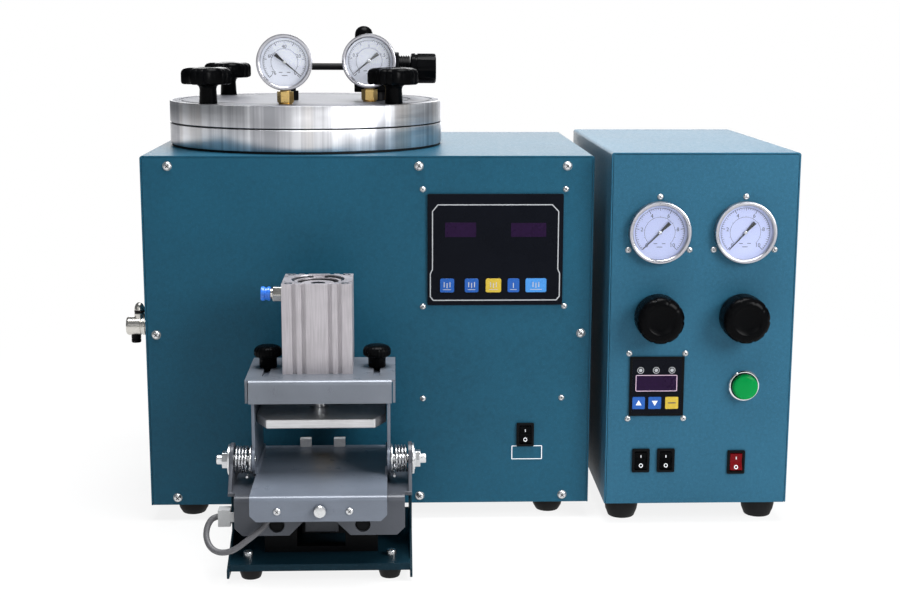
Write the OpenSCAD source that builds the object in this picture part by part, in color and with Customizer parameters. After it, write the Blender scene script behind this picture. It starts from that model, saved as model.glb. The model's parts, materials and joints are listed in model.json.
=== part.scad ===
// Jewelry wax injector: heated wax cabinet, pneumatic mould clamp and control box.
// X runs to the right, Y to the back, Z up; lengths in millimetres.

/* [Cabinet] */
// Width of the cabinet
cab_w = 400; // [370:5:440]
// Depth of the cabinet
cab_d = 286; // [280:2:310]
// Height of the cabinet without its feet
cab_h = 319; // [310:1:350]
// Thickness of the painted sheets
sheet = 1.5; // [1:0.1:2]
// Height of the cabinet's feet
cab_foot_h = 15; // [12:0.5:18]
// Inset of the foot centres from the sides and the ends
foot_inset = 35; // [28:1:45]

/* [Wax pot] */
// Pot centre to the right of the cabinet's middle
pot_x = -61.5; // [-66:0.5:-50]
// Outer radius of the flange and the lid
flange_r = 130; // [127:0.5:134]
// Thickness of the pot's flange
flange_t = 20; // [16:0.5:24]
// Thickness of the lid
lid_t = 20.5; // [16:0.5:24]
// Outer radius of the vessel
vessel_r = 109; // [108.5:0.1:109.5]
// Wall thickness of the vessel
vessel_wall = 5; // [4:0.1:5]
// Height of the vessel's underside above the bench
vessel_z = 84; // [70:1:90]
// Distance of each lid screw from the pot's axis, along X and along Y
lid_screw_off = 84; // [83:0.5:86]
// Diameter of a star knob's head
star_d = 48; // [40:1:56]

/* [Panel fittings] */
// Diameter of the gauges on the lid
lid_gauge_d = 50; // [44:1:54]
// Diameter of the gauges on the control box
box_gauge_d = 55; // [50:1:60]
// Width of a rocker switch's bezel
rocker_w = 16; // [15:0.5:19]
// Height of a rocker switch's bezel
rocker_h = 22; // [20:0.5:25]
// Diameter of the push button's ring
button_d = 29; // [28:0.5:32]

/* [Control box] */
// Width of the control box
box_w = 166.6; // [160:0.2:180]
// Depth of the control box
box_d = 284; // [270:2:300]
// Height of the control box without its feet
box_h = 319; // [310:1:335]
// Free space between the cabinet and the control box
box_gap = 12.3; // [8:0.1:30]
// Distance by which the control box stands ahead of the cabinet
box_ahead = 20; // [5:1:30]
// Height of the control box's feet
box_foot_h = 19.5; // [16:0.5:24]

/* [Clamp] */
// Middle of the clamp from the cabinet's middle
clamp_x = -39; // [-45:0.5:-30]
// Outer width of the clamp's base and carriage
base_w = 151; // [149:0.5:156]
// Outer width of the tilting frame
frame_w = 115.2; // [112:0.2:117]
// Thickness of a side plate
side_t = 2.5; // [2:0.1:3]
// Width of the press cylinder
cyl_w = 58.5; // [52:0.5:60]
// Depth of the press cylinder
cyl_d = 52; // [50:0.5:54]
// Height of the press cylinder
cyl_h = 76.5; // [74:0.5:90]
// Bore radius of the press cylinder
cyl_bore_r = 20; // [18:0.1:20.5]
// Height of the tray's surface above the bench
tray_z = 76.5; // [75.5:0.5:78]
// Thickness of the press plate
press_t = 8; // [6:0.5:10]
// Thickness of the clamp's steel sheet
steel = 2; // [1.5:0.1:2.2]
// Diameter of the button cable
cable_d = 5; // [4:0.1:5.5]

/* [Hidden] */
$fn = 48;
eps = 0.01;
fit = 0.05;
gap = 0.3;

// Cabinet levels and edges
cab_z = cab_foot_h;
cab_top = cab_z + cab_h;
bend_r = 2.5;
flange_w = 16;
inner_w = cab_w - 2 * sheet;
panel_w = inner_w - 2 * gap;

// Wax pot levels
pot_y = cab_d / 2 - 3.5;
gasket_t = 2;
pot_flange_z = cab_top + gasket_t;
lid_z = pot_flange_z + flange_t;
lid_top = lid_z + lid_t;
oring_r = 110;
oring_wire = 1.75;
lid_screw_r = 4;
star_hub_r = 8.2;
star_hub_h = 17;
star_head_h = 15.5;
star_lobes = 5;

// Star knob corners: front left, front right, back left, back right
star_signs = [[-1, -1], [1, -1], [-1, 1], [1, 1]];

// Lid fittings: place of each gauge's stem from the pot's middle, and its rest angle
stem_h = 12;
lid_gauge_z = lid_top + 37.5;
lid_gauges_at = [[-13.5, -94], [61.3, -48]];
lid_gauge_depth = 20;
lid_gauge_angles = [-40, 219];
reg_at = [68, -24];
reg_z = lid_top + 30;
reg_knob_d = 27;

// Nozzle
nozzle_x = clamp_x - 3;
nozzle_z = 100;
nozzle_reach = 20;
nozzle_barrel_r = 11;
nozzle_tip_r = 4;
vessel_y_at_nozzle = pot_y - sqrt(vessel_r * vessel_r - pow(nozzle_x - pot_x, 2));
nozzle_block_back = pot_y - vessel_r - 1;

// Display panel: middle and size
disp_x = 112.5;
disp_z = cab_top - 83.6;
disp_w = 121;
disp_h = 100;
overlay_t = 2;
cab_rocker_at = [141.3, cab_z + 64.6];

// Side valve
valve_y = 100;
valve_z = 162;
valve_reach = 34.5;

// Control box edges and the places of its fittings
box_x0 = cab_w / 2 + box_gap;
box_y0 = -box_ahead;
box_z = box_foot_h;
box_top = box_z + box_h;
box_mid = box_x0 + box_w / 2;
col_l = box_mid - 39.8;
col_r = box_mid + 36;
box_gauge_z = box_top - 70;
box_gauges_at = [[col_l, box_gauge_z], [col_r, box_gauge_z]];
box_gauge_front = 7;
box_gauge_angles = [225, 228];
box_knob_z = box_top - 145.5;
box_knob_d = 42;
box_knob_l = 25;
timer_x = box_mid - 38.5;
timer_z = box_top - 209.3;
timer_w = 49;
timer_h = 54.4;
button_at = [col_r + 4.4, box_top - 209.2];
box_rockers_at = [[box_mid - 50.9, box_top - 278.3], [box_mid - 28.2, box_top - 278.3],
                  [col_r, box_top - 280.4]];

// Clamp base
base_front = -157;
base_back = -12;
base_floor = 15.5;
base_x = base_w / 2;
base_wall_top = 65.5;
clamp_foot_r = 10;
rod_x = 35;
rod_z = 46;
rod_r = 5;

// Carriage
car_front = -147;
car_back = -40;
car_floor = 70;
car_sheet = 3;
apron_w = base_w - 12;
ear_x = base_x;
ear_front = -136;
ear_back = -76;
pivot_y = -105;
pivot_z = 89.5;
ear_r = 14;
bolt_r = 4;
washer_t = 2.2;

// Tilting frame
frame_x = frame_w / 2;
frame_in = frame_x - side_t;
tray_x = frame_in;
tray_front = -167;
tray_back = -20;
apron_low = 55.7;
side_front = -108;
side_back = -30;
head_z = 157.5;
stud_x = 46.4;
stud_y = -66;
stud_r = 2.5;

// Head
head_w = 124;
head_front = -117;
head_back = -30;
head_drop = 19.5;
axis_x = nozzle_x;
axis_y = -67;
cyl_z = head_z + steel;
cyl_top = cyl_z + cyl_h;
piston_t = 12;
piston_z = cyl_z + 52.5;
piston_rod_r = 8;
press_z = 117.5;
press_front = -112;
press_back = -48;

// Start button on the tray's apron
start_x = clamp_x + 1.3;
start_z = 64.7;
start_r = 5.2;

// Torsion springs: mean radius, wire radius, turns; the pitch fills the room beside the ear
spring_r = 10.6;
wire_r = 1;
turns = 4;
ring_steps = 8;
spring_x0 = frame_x + 3.4;
spring_pitch = (ear_x - car_sheet - wire_r - 0.1 - spring_x0) / turns;

// Button cable: hand-chosen points from the connector to the clip
cable_pts = [
    [-122, -139, 51], [-123.3, -139, 51], [-127.5, -140.4, 49.3], [-130.4, -143.5, 45],
    [-131.3, -147, 40.3], [-130.6, -150.5, 36.1], [-128.2, -154.2, 32], [-124.3, -157.3, 29.1],
    [-119.2, -159.6, 27.9], [-113.4, -160.9, 28.5], [-108.2, -161.4, 30.4], [-102.9, -161, 33.5],
    [-98.4, -160, 36.7], [-93.8, -158.5, 39.9], [-89.4, -156.5, 43], [-84.8, -154.1, 46.6],
    [-81.4, -152, 50.8], [-80, -151, 54.7], [-80, -151, 56]
];
cable_sides = 10;

// The whole set is centred on its own bounding box
inlet_out = 3;
start_cap_out = 4;
set_left = -cab_w / 2 - valve_reach;
set_right = box_x0 + box_w;
set_front = tray_front - start_cap_out;
set_back = cab_d + inlet_out;
centre_x = (set_left + set_right) / 2;
centre_y = (set_front + set_back) / 2;

// ---------- helpers ----------

// Moves children from the cabinet's front edge to the centred frame
module placed() translate([-centre_x, -centre_y, 0]) children();

// Cylinder along Y from y0 to y1 at x, z
module rod_y(r, y0, y1, x = 0, z = 0) translate([x, y0, z])
    rotate([-90, 0, 0]) cylinder(r = r, h = y1 - y0);

// Cylinder along X from x0 to x1 at y, z
module rod_x(r, x0, x1, y = 0, z = 0) translate([x0, y, z])
    rotate([0, 90, 0]) cylinder(r = r, h = x1 - x0);

// Box from one corner to the other
module block(a, b) translate(a) cube([b[0] - a[0], b[1] - a[1], b[2] - a[2]]);

// Outline in Y and Z, pushed along X from x0 to x1
module along_x(x0, x1) translate([x0, 0, 0]) rotate([90, 0, 90]) linear_extrude(x1 - x0) children();

// Outline in X and Z, pushed along Y from y0 to y1
module along_y(y0, y1) translate([0, y1, 0]) rotate([90, 0, 0]) linear_extrude(y1 - y0) children();

// Rectangle whose two upper corners are round
module arch(w, h, r) {
    translate([-w / 2, 0]) square([w, h - r]);
    translate([-w / 2 + r, 0]) square([w - 2 * r, h]);
    for (s = [-1, 1]) translate([s * (w / 2 - r), h - r]) circle(r);
}

// Folded cover: top and two sides
module folded_cover(w, d, h) {
    along_y(0, d) difference() {
        arch(w, h, bend_r);
        translate([0, -eps]) arch(w - 2 * sheet, h - sheet + eps, bend_r - sheet / 2);
    }
}

// Pan-head screw seen from the front, at x, z on a face at y, reaching len into it
module pan_screw(x, z, y, head_r, len) {
    difference() {
        intersection() {
            rod_y(head_r, y - 0.5 * head_r, y, x, z);
            translate([x, y + 0.85 * head_r, z]) sphere(r = 1.35 * head_r);
        }
        for (a = [45, 135]) translate([x, y - 0.5 * head_r, z]) rotate([0, a, 0])
            cube([head_r * 1.1, head_r * 0.5, head_r * 0.28], center = true);
    }
    rod_y(screw_shank(head_r), y - eps, y + len, x, z);
}
function screw_shank(head_r) = head_r * 0.45;

// Round rubber foot: wide at its top, domed towards its flat underside
module foot(x, y, h, top_r, low_r) translate([x, y, 0]) rotate_extrude() {
    polygon([[0, 0], [low_r, 0], [low_r + 2, 0.7], [top_r - 0.8, h * 0.36], [top_r, h * 0.6],
             [top_r, h], [0, h]]);
}

// Pressure gauge with its front at y, case, dial shelf and lens
module gauge(x, z, y, d, depth) {
    r = d / 2;
    difference() {
        union() {
            rod_y(r, y, y + 7, x, z);
            rod_y(r - 1.5, y + 7 - eps, y + depth, x, z);
        }
        rod_y(r - 3.5, y - eps, y + 5.5, x, z);
        rod_y(0.7 + fit, y, y + 9, x, z);
    }
    rod_y(r - 3.5, y + 0.8, y + 2, x, z);
}

// Gauge needle at rest angle a, measured from +X towards +Z
module needle(x, z, y, d, a) translate([x, y + 3.2, z]) rotate([0, -a, 0]) {
    tip = d * 0.38;
    tail = d * 0.22;
    translate([0, 0.8, 0]) rotate([90, 0, 0]) linear_extrude(0.8)
        polygon([[-tail, -1.6], [-tail, 1.6], [0, 0.7], [tip, 0.25], [tip, -0.25], [0, -0.7]]);
    rod_y(1.8, -0.3, 0.8);
    rod_y(0.7, 0.8 - eps, 5);
}

// Rocker paddle on its axle, and the bezel that holds it; y is the panel's face
rocker_turn_r = rocker_h / 2 - 2.4;
module rocker_paddle(x, z, y) translate([x, y + 2, z]) rotate([-7, 0, 0]) intersection() {
    rod_x(rocker_turn_r, -rocker_w / 2 + 2.5, rocker_w / 2 - 2.5);
    block([-rocker_w, -5, -rocker_h], [rocker_w, 4, rocker_h]);
}
module rocker_bezel(x, z, y) {
    half = [rocker_w / 2 - 2.3, rocker_h / 2 - 2.3];
    difference() {
        union() {
            block([x - rocker_w / 2, y - 2, z - rocker_h / 2], [x + rocker_w / 2, y, z + rocker_h / 2]);
            block([x - rocker_w / 2 + 1.3, y - eps, z - rocker_h / 2 + 1.2],
                  [x + rocker_w / 2 - 1.3, y + 14, z + rocker_h / 2 - 1.2]);
        }
        block([x - half[0], y - 3, z - half[1]], [x + half[0], y + 11, z + half[1]]);
    }
}
module rocker_hole(x, z, y) block([x - rocker_w / 2 + 1.2, y - 1, z - rocker_h / 2 + 1.1],
                                  [x + rocker_w / 2 - 1.2, y + sheet + 1, z + rocker_h / 2 - 1.1]);

// Places of the front panel's screws: [x, z, head radius]
edge_x = cab_w / 2 - 24;
front_screws = [
    [-edge_x, cab_top - 9, 4], [44.6, cab_top - 9, 4], [edge_x, cab_top - 9, 4],
    [-cab_w / 2 + 9.5, cab_z + 159, 4], [cab_w / 2 - 9.5, cab_z + 159, 4],
    [-edge_x, cab_z + 7, 4], [45, cab_z + 7, 4], [edge_x, cab_z + 7, 4]
];
disp_screws = [[48, 304.5], [175, 304.5], [48, 199], [175, 199], [48, 114], [174, 114]];
timer_screws = [for (i = [-1, 1], j = [-1, 1]) [timer_x + i * 25.2, timer_z + j * 30]];
gauge_screw_r = box_gauge_d / 2 + 3.9;
gauge_screws = [for (g = box_gauges_at, a = [90, 210, 330])
    [g[0] + gauge_screw_r * cos(a), g[1] + gauge_screw_r * sin(a)]];
small_head_r = 2.6;

// ---------- cabinet ----------

module cabinet_cover() color("#24607a") placed() difference() {
    union() {
        translate([0, 0, cab_z]) folded_cover(cab_w, cab_d, cab_h);
        // flanges behind the front panel
        for (s = [-1, 1]) translate([s * (inner_w / 2 - flange_w / 2), 0, 0])
            block([-flange_w / 2, sheet + 0.1, cab_z + 20], [flange_w / 2, 2 * sheet, cab_top - sheet]);
        block([-inner_w / 2, sheet + 0.1, cab_top - flange_w],
              [inner_w / 2, 2 * sheet, cab_top - sheet / 2]);
    }
    translate([pot_x, pot_y, cab_top - 5]) cylinder(r = vessel_r + 2.5, h = 10, $fn = 96);
    rod_x(7 + fit, -cab_w / 2 - 5, -cab_w / 2 + 5, valve_y, valve_z);
    for (s = front_screws) rod_y(screw_shank(s[2]), 0, 6, s[0], s[1]);
}

module cabinet_front() color("#24607a") placed() difference() {
    block([-panel_w / 2, 0, cab_z + 0.2], [panel_w / 2, sheet, cab_top - sheet - gap]);
    block([disp_x - disp_w / 2 + 6, -1, disp_z - disp_h / 2 + 6],
          [disp_x + disp_w / 2 - 6, sheet + 1, disp_z + disp_h / 2 - 6]);
    rod_y(nozzle_barrel_r + 0.5, -1, sheet + 1, nozzle_x, nozzle_z);
    rocker_hole(cab_rocker_at[0], cab_rocker_at[1], 0);
    for (s = front_screws) rod_y(screw_shank(s[2]), -1, sheet + 1, s[0], s[1]);
    for (s = disp_screws) rod_y(screw_shank(small_head_r), -1, sheet + 1, s[0], s[1]);
}

module cabinet_base() color("#1f5068") placed() difference() {
    union() {
        block([-panel_w / 2, sheet + 0.1, cab_z], [panel_w / 2, cab_d, cab_z + sheet]);
        block([-panel_w / 2, sheet + 0.1, cab_z], [panel_w / 2, 2 * sheet, cab_z + flange_w]);
        block([-panel_w / 2, cab_d - sheet, cab_z], [panel_w / 2, cab_d, cab_top - sheet - gap]);
    }
    for (s = front_screws) rod_y(screw_shank(s[2]), 0, 6, s[0], s[1]);
    inlet_hole(inlet_x, cab_d, inlet_z);
    // louvres in the back panel
    for (i = [0:5], s = [-1, 1])
        block([s * 110 - 30, cab_d - 3, 200 + 12 * i], [s * 110 + 30, cab_d + 1, 203 + 12 * i]);
}

module panel_screws() color("#c9cdd0") placed() {
    for (s = front_screws) pan_screw(s[0], s[1], 0, s[2], 8);
    for (s = disp_screws) pan_screw(s[0], s[1], 0, small_head_r, 5);
    for (s = timer_screws) pan_screw(s[0], s[1], box_y0, small_head_r, 5);
    for (s = gauge_screws) pan_screw(s[0], s[1], box_y0, small_head_r, 5);
}

cab_foot_front = 26;
module rubber_feet() color("#1c1d1f") placed() {
    for (s = [-1, 1], y = [cab_foot_front, cab_d - foot_inset])
        foot(s * (cab_w / 2 - foot_inset), y, cab_foot_h, 14, 8.5);
    for (s = [-1, 1], y = [26, box_d - 33])
        foot(box_mid + s * (box_w / 2 - 19.6), box_y0 + y, box_foot_h, 15.3, 10);
    for (s = [-1, 1], y = [base_front + 14.5, base_back - 14])
        foot(clamp_x + s * 57, y, base_floor - steel, clamp_foot_r, 6);
}

// ---------- wax pot and lid ----------

module wax_pot() color("#b9bec2") placed() translate([pot_x, pot_y, 0]) difference() {
    rotate_extrude($fn = 96) polygon([
        [0, vessel_z], [vessel_r, vessel_z], [vessel_r, pot_flange_z], [flange_r - 1, pot_flange_z],
        [flange_r, pot_flange_z + 1], [flange_r, lid_z - 0.6], [flange_r - 0.6, lid_z],
        [oring_r + 1.9, lid_z], [oring_r + 1.9, lid_z - 3.6], [oring_r - 1.9, lid_z - 3.6],
        [oring_r - 1.9, lid_z], [vessel_r - vessel_wall, lid_z],
        [vessel_r - vessel_wall, vessel_z + 6], [0, vessel_z + 6]
    ]);
    for (s = star_signs) translate([s[0] * lid_screw_off, s[1] * lid_screw_off, pot_flange_z - 1])
        cylinder(r = lid_screw_r + fit, h = flange_t + 2);
    translate([nozzle_x - pot_x, 0, 0]) rod_y(7 + fit, -vessel_r - 5, -vessel_r + 25, 0, nozzle_z);
}

module pot_seals() color("#16171a") placed() translate([pot_x, pot_y, 0]) {
    difference() {
        translate([0, 0, cab_top]) cylinder(r = flange_r - 1.5, h = gasket_t, $fn = 96);
        translate([0, 0, cab_top - 1]) cylinder(r = vessel_r + 0.5, h = gasket_t + 2, $fn = 96);
    }
    translate([0, 0, lid_z - oring_wire - 0.05]) rotate_extrude($fn = 96)
        translate([oring_r, 0]) circle(oring_wire, $fn = 24);
}

// Heater band round the vessel: height above the vessel's underside, thickness, joint and ears
band_up = 56;
band_h = 140;
band_t = 3.5;
band_joint = 16;
ear_t = 3;
ear_l = 12;
module heater_band() color("#8f8a80") placed() translate([pot_x, pot_y, vessel_z + band_up]) {
    difference() {
        cylinder(r = vessel_r + band_t, h = band_h, $fn = 96);
        translate([0, 0, -1]) cylinder(r = vessel_r + fit, h = band_h + 2, $fn = 96);
        block([-band_joint / 2, vessel_r - 8, -1], [band_joint / 2, vessel_r + 8, band_h + 1]);
    }
    // clamp ears and their screws at the band's joint
    for (s = [-1, 1]) translate([s * (band_joint + ear_t + 1) / 2, vessel_r + band_t - 1.5, 0])
        block([-ear_t / 2, 0, 5], [ear_t / 2, ear_l, band_h - 5]);
    for (z = [25, band_h - 25]) rod_x(2, -band_joint, band_joint, vessel_r + band_t + 5.5, z);
}

module pot_lid() color("#c4c8cb") placed() translate([pot_x, pot_y, 0]) difference() {
    rotate_extrude($fn = 96) polygon([
        [0, lid_z], [vessel_r - vessel_wall - 0.5, lid_z], [flange_r - 0.6, lid_z], [flange_r, lid_z + 0.6],
        [flange_r, lid_top - 1.5], [flange_r - 1.5, lid_top],
        // two turned rings in the top
        for (r = [flange_r - 9, flange_r - 30])
            each [[r, lid_top], [r, lid_top - 0.6], [r - 2, lid_top - 0.6], [r - 2, lid_top]],
        [0, lid_top]
    ]);
    for (s = star_signs) translate([s[0] * lid_screw_off, s[1] * lid_screw_off, lid_z - 1])
        cylinder(r = lid_screw_r + 0.5, h = lid_t + 2);
}

// Star knob with its clamping screw
module star_knob(i) placed() translate([pot_x + star_signs[i][0] * lid_screw_off,
                                        pot_y + star_signs[i][1] * lid_screw_off, 0]) {
    translate([0, 0, lid_top + star_hub_h]) intersection() {
        linear_extrude(star_head_h) difference() {
            circle(star_d / 2);
            for (a = [0:star_lobes - 1]) rotate(a * 360 / star_lobes)
                translate([star_d / 2 + 5, 0]) circle(11);
        }
        rotate_extrude() polygon([
            [0, 0], [star_d / 2 - 2, 0], [star_d / 2, 2], [star_d / 2, star_head_h - 5],
            [star_d / 2 - 3, star_head_h - 1.4], [star_d / 2 - 9, star_head_h], [0, star_head_h]
        ]);
    }
    translate([0, 0, lid_top + fit]) cylinder(r = star_hub_r, h = star_hub_h);
    translate([0, 0, pot_flange_z + 2]) cylinder(r = lid_screw_r, h = lid_top - pot_flange_z);
}
module lid_knob_1() color("#141517") star_knob(0);
module lid_knob_2() color("#141517") star_knob(1);
module lid_knob_3() color("#141517") star_knob(2);
module lid_knob_4() color("#141517") star_knob(3);

module lid_gauges() color("#d5d8dc") placed() for (g = lid_gauges_at) {
    x = pot_x + g[0];
    y = pot_y + g[1] - lid_gauge_depth / 2;
    gauge(x, lid_gauge_z, y, lid_gauge_d, lid_gauge_depth);
    // hexagonal stem below the case
    translate([x, pot_y + g[1], lid_top]) {
        cylinder(r = 7.8, h = stem_h, $fn = 6);
        cylinder(r = 5, h = lid_gauge_z - lid_top - lid_gauge_d / 2 + 4);
    }
}
module lid_needle(i) placed() needle(pot_x + lid_gauges_at[i][0], lid_gauge_z,
    pot_y + lid_gauges_at[i][1] - lid_gauge_depth / 2, lid_gauge_d, lid_gauge_angles[i]);
module lid_needle_1() color("#101010") lid_needle(0);
module lid_needle_2() color("#101010") lid_needle(1);

module lid_regulator() color("#1b1c1f") placed() {
    x = pot_x + reg_at[0];
    y = pot_y + reg_at[1];
    difference() {
        union() {
            // post, body and bonnet
            translate([x, y, lid_top]) cylinder(r = 9, h = 10);
            block([x - 21, y - 13, lid_top + 8], [x + 21, y + 13, reg_z + 15]);
            rod_x(12, x + 21 - eps, x + 31.5, y, reg_z);
            // relief dome
            translate([x - 12, y, reg_z + 15 - eps]) cylinder(r = 8.5, h = 16);
            translate([x - 12, y, reg_z + 31]) intersection() {
                sphere(r = 8.5);
                cylinder(r = 9, h = 9);
            }
        }
        rod_x(3 + fit, x + 12, x + 40, y, reg_z);
        rod_x(hose_r + fit, x - 22, x - 14, y, reg_z + 1.5);
    }
    // elbow behind the left gauge
    translate([pot_x + lid_gauges_at[0][0], y, lid_top]) {
        cylinder(r = 7.5, h = 9, $fn = 6);
        difference() {
            union() {
                cylinder(r = 5, h = reg_z - lid_top + 6.5);
                rod_x(5.5, 0, 10, 0, reg_z - lid_top + 1.5);
            }
            rod_x(hose_r + fit, 5, 12, 0, reg_z - lid_top + 1.5);
        }
    }
}
hose_r = 3.2;

module lid_regulator_knob() color("#141517") placed() {
    x = pot_x + reg_at[0] + 32;
    y = pot_y + reg_at[1];
    translate([x, y, reg_z]) rotate([0, 90, 0]) rotate(22.5)
        cylinder(r = reg_knob_d / 2 / cos(22.5), h = 24, $fn = 8);
    rod_x(3, x - 18, x + 2, y, reg_z);
}

module lid_hose() color("#131313") placed() {
    y = pot_y + reg_at[1];
    rod_x(hose_r, pot_x + lid_gauges_at[0][0] + 5.2, pot_x + reg_at[0] - 14.2, y, reg_z + 1.5);
}

// ---------- nozzle ----------

module nozzle_block() color("#b08a4a") placed() difference() {
    union() {
        block([nozzle_x - 24, sheet + 0.1, nozzle_z - 26],
              [nozzle_x + 24, nozzle_block_back, nozzle_z + 26]);
        rod_y(nozzle_barrel_r, -6, sheet + 1, nozzle_x, nozzle_z);
        rod_y(7, nozzle_block_back - 1, vessel_y_at_nozzle + 1.5, nozzle_x, nozzle_z);
    }
    rod_y(nozzle_tip_r + fit, -7, 12, nozzle_x, nozzle_z);
    rod_y(2, 11, vessel_y_at_nozzle + 5, nozzle_x, nozzle_z);
}

module nozzle_tip() color("#c9a35c") placed() translate([nozzle_x, 0, nozzle_z])
    rotate([-90, 0, 0]) difference() {
    rotate_extrude() polygon([
        [0, -nozzle_reach], [1.8, -nozzle_reach], [nozzle_tip_r, -nozzle_reach + 5], [nozzle_tip_r, -14],
        [7, -14], [7, -10], [nozzle_tip_r, -10], [nozzle_tip_r, 7], [0, 7]
    ]);
    translate([0, 0, -nozzle_reach - 1]) cylinder(r = 0.8, h = 30, $fn = 24);
}

// ---------- cabinet fittings ----------

module display_panel() color("#15171c") placed() {
    block([disp_x - disp_w / 2, -overlay_t, disp_z - disp_h / 2],
          [disp_x + disp_w / 2, 0, disp_z + disp_h / 2]);
    block([disp_x - disp_w / 2 + 6.3, -eps, disp_z - disp_h / 2 + 6.3],
          [disp_x + disp_w / 2 - 6.3, 20, disp_z + disp_h / 2 - 6.3]);
}

module control_board() color("#2d6b3f") placed() {
    block([disp_x - 52, 25, disp_z - 42], [disp_x + 52, 26.6, disp_z + 42]);
    for (i = [-1, 1], j = [-1, 1]) rod_y(3, 20, 25 + eps, disp_x + i * 46, disp_z + j * 36);
    for (i = [-1:1]) translate([disp_x + 30 * i, 0, disp_z])
        block([-8, 26.6 - eps, -30], [8, 42, -14]);
    block([disp_x - 40, 26.6 - eps, disp_z], [disp_x + 5, 48, disp_z + 34]);
}

module cabinet_rocker() color("#17181a") placed() rocker_paddle(cab_rocker_at[0], cab_rocker_at[1], 0);

module switch_bodies() color("#202124") placed() {
    rocker_bezel(cab_rocker_at[0], cab_rocker_at[1], 0);
    for (r = box_rockers_at) rocker_bezel(r[0], r[1], box_y0);
    // ring and body of the push button
    difference() {
        union() {
            rod_y(button_d / 2, box_y0 - 3, box_y0, button_at[0], button_at[1]);
            rod_y(10.9, box_y0 - eps, box_y0 + 28, button_at[0], button_at[1]);
        }
        rod_y(11.8, box_y0 - 4, box_y0 - 0.2, button_at[0], button_at[1]);
        rod_y(9 + fit, box_y0 - 1, box_y0 + 16, button_at[0], button_at[1]);
    }
}

// Vacuum pump on the floor: foot plate, compressor block, motor and its cradle
pump_x = 125;
pump_back = cab_d - 41;
pump_plate = [100, 130, 6];
pump_head = [74, 50, 64];
motor_r = 36;
motor_l = 65;
motor_up = 44;
module vacuum_pump() color("#4a4f55") placed() translate([pump_x, pump_back, cab_z + sheet]) {
    w = pump_plate[0] / 2;
    t = pump_plate[2];
    motor_back = -5;
    motor_front = motor_back - motor_l;
    block([-w, -pump_plate[1], 0], [w, 0, t]);
    block([-pump_head[0] / 2, motor_front - pump_head[1], t - eps],
          [pump_head[0] / 2, motor_front, t + pump_head[2]]);
    rod_y(motor_r, motor_front - eps, motor_back, 0, motor_up);
    block([-20, motor_front + 3, t - eps], [20, motor_back - 4, motor_up - motor_r + 12]);
}

module side_valve() color("#c7c9cb") placed() translate([-cab_w / 2, valve_y, valve_z]) difference() {
    union() {
        rod_x(7, -17, 4);
        rod_x(9, -valve_reach, -16.5);
        translate([-22, 0, 5]) cylinder(r = 5, h = 18);
        translate([-26, 0, -16]) cylinder(r = 4.6, h = 16);
    }
    // air port that points down
    translate([-26, 0, -17]) cylinder(r = 3, h = 14);
}

// Power inlet on a back panel at x, y, z
inlet_x = 120;
inlet_up = 45;
inlet_z = cab_z + inlet_up;
box_inlet_z = box_z + inlet_up;
module inlet_body(x, y, z) difference() {
    union() {
        block([x - 24, y, z - 15], [x + 24, y + inlet_out, z + 15]);
        block([x - 13.8, y - 18, z - 9.8], [x + 13.8, y + eps, z + 9.8]);
    }
    block([x - 11.5, y - 14, z - 7.8], [x + 11.5, y + inlet_out + 1, z + 7.8]);
}
module inlet_hole(x, y, z) block([x - 14, y - 5, z - 10], [x + 14, y + 1, z + 10]);
module power_inlets() color("#17181a") placed() {
    inlet_body(inlet_x, cab_d, inlet_z);
    inlet_body(box_mid, box_y0 + box_d, box_inlet_z);
}

// ---------- control box ----------

module box_cover() color("#24607a") placed()
    translate([box_mid, box_y0, box_z]) folded_cover(box_w, box_d, box_h);

module box_chassis() color("#24607a") placed() difference() {
    w = box_w - 2 * sheet - 2 * gap;
    union() {
        block([box_mid - w / 2, box_y0, box_z], [box_mid + w / 2, box_y0 + sheet, box_top - sheet - gap]);
        block([box_mid - w / 2, box_y0, box_z], [box_mid + w / 2, box_y0 + box_d, box_z + sheet]);
        block([box_mid - w / 2, box_y0 + box_d - sheet, box_z],
              [box_mid + w / 2, box_y0 + box_d, box_top - sheet - gap]);
    }
    for (g = box_gauges_at) rod_y(box_gauge_d / 2 - 1.2, box_y0 - 1, box_y0 + 3, g[0], g[1]);
    for (x = [col_l, col_r]) rod_y(reg_neck_r + 0.2, box_y0 - 1, box_y0 + 3, x, box_knob_z);
    block([timer_x - timer_w / 2 + 4, box_y0 - 1, timer_z - timer_h / 2 + 4],
          [timer_x + timer_w / 2 - 4, box_y0 + 3, timer_z + timer_h / 2 - 4]);
    rod_y(11, box_y0 - 1, box_y0 + 3, button_at[0], button_at[1]);
    for (r = box_rockers_at) rocker_hole(r[0], r[1], box_y0);
    for (s = concat(timer_screws, gauge_screws))
        rod_y(screw_shank(small_head_r), box_y0 - 1, box_y0 + 3, s[0], s[1]);
    inlet_hole(box_mid, box_y0 + box_d, box_inlet_z);
}

module box_gauges() color("#d5d8dc") placed() for (g = box_gauges_at) {
    gauge(g[0], g[1], box_y0 - box_gauge_front, box_gauge_d, 30);
    rod_y(6, box_y0 - box_gauge_front + 30 - eps, box_y0 + 36, g[0], g[1]);
}
module box_needle(i) placed() needle(box_gauges_at[i][0], box_gauges_at[i][1], box_y0 - box_gauge_front,
    box_gauge_d, box_gauge_angles[i]);
module box_needle_1() color("#101010") box_needle(0);
module box_needle_2() color("#101010") box_needle(1);

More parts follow.
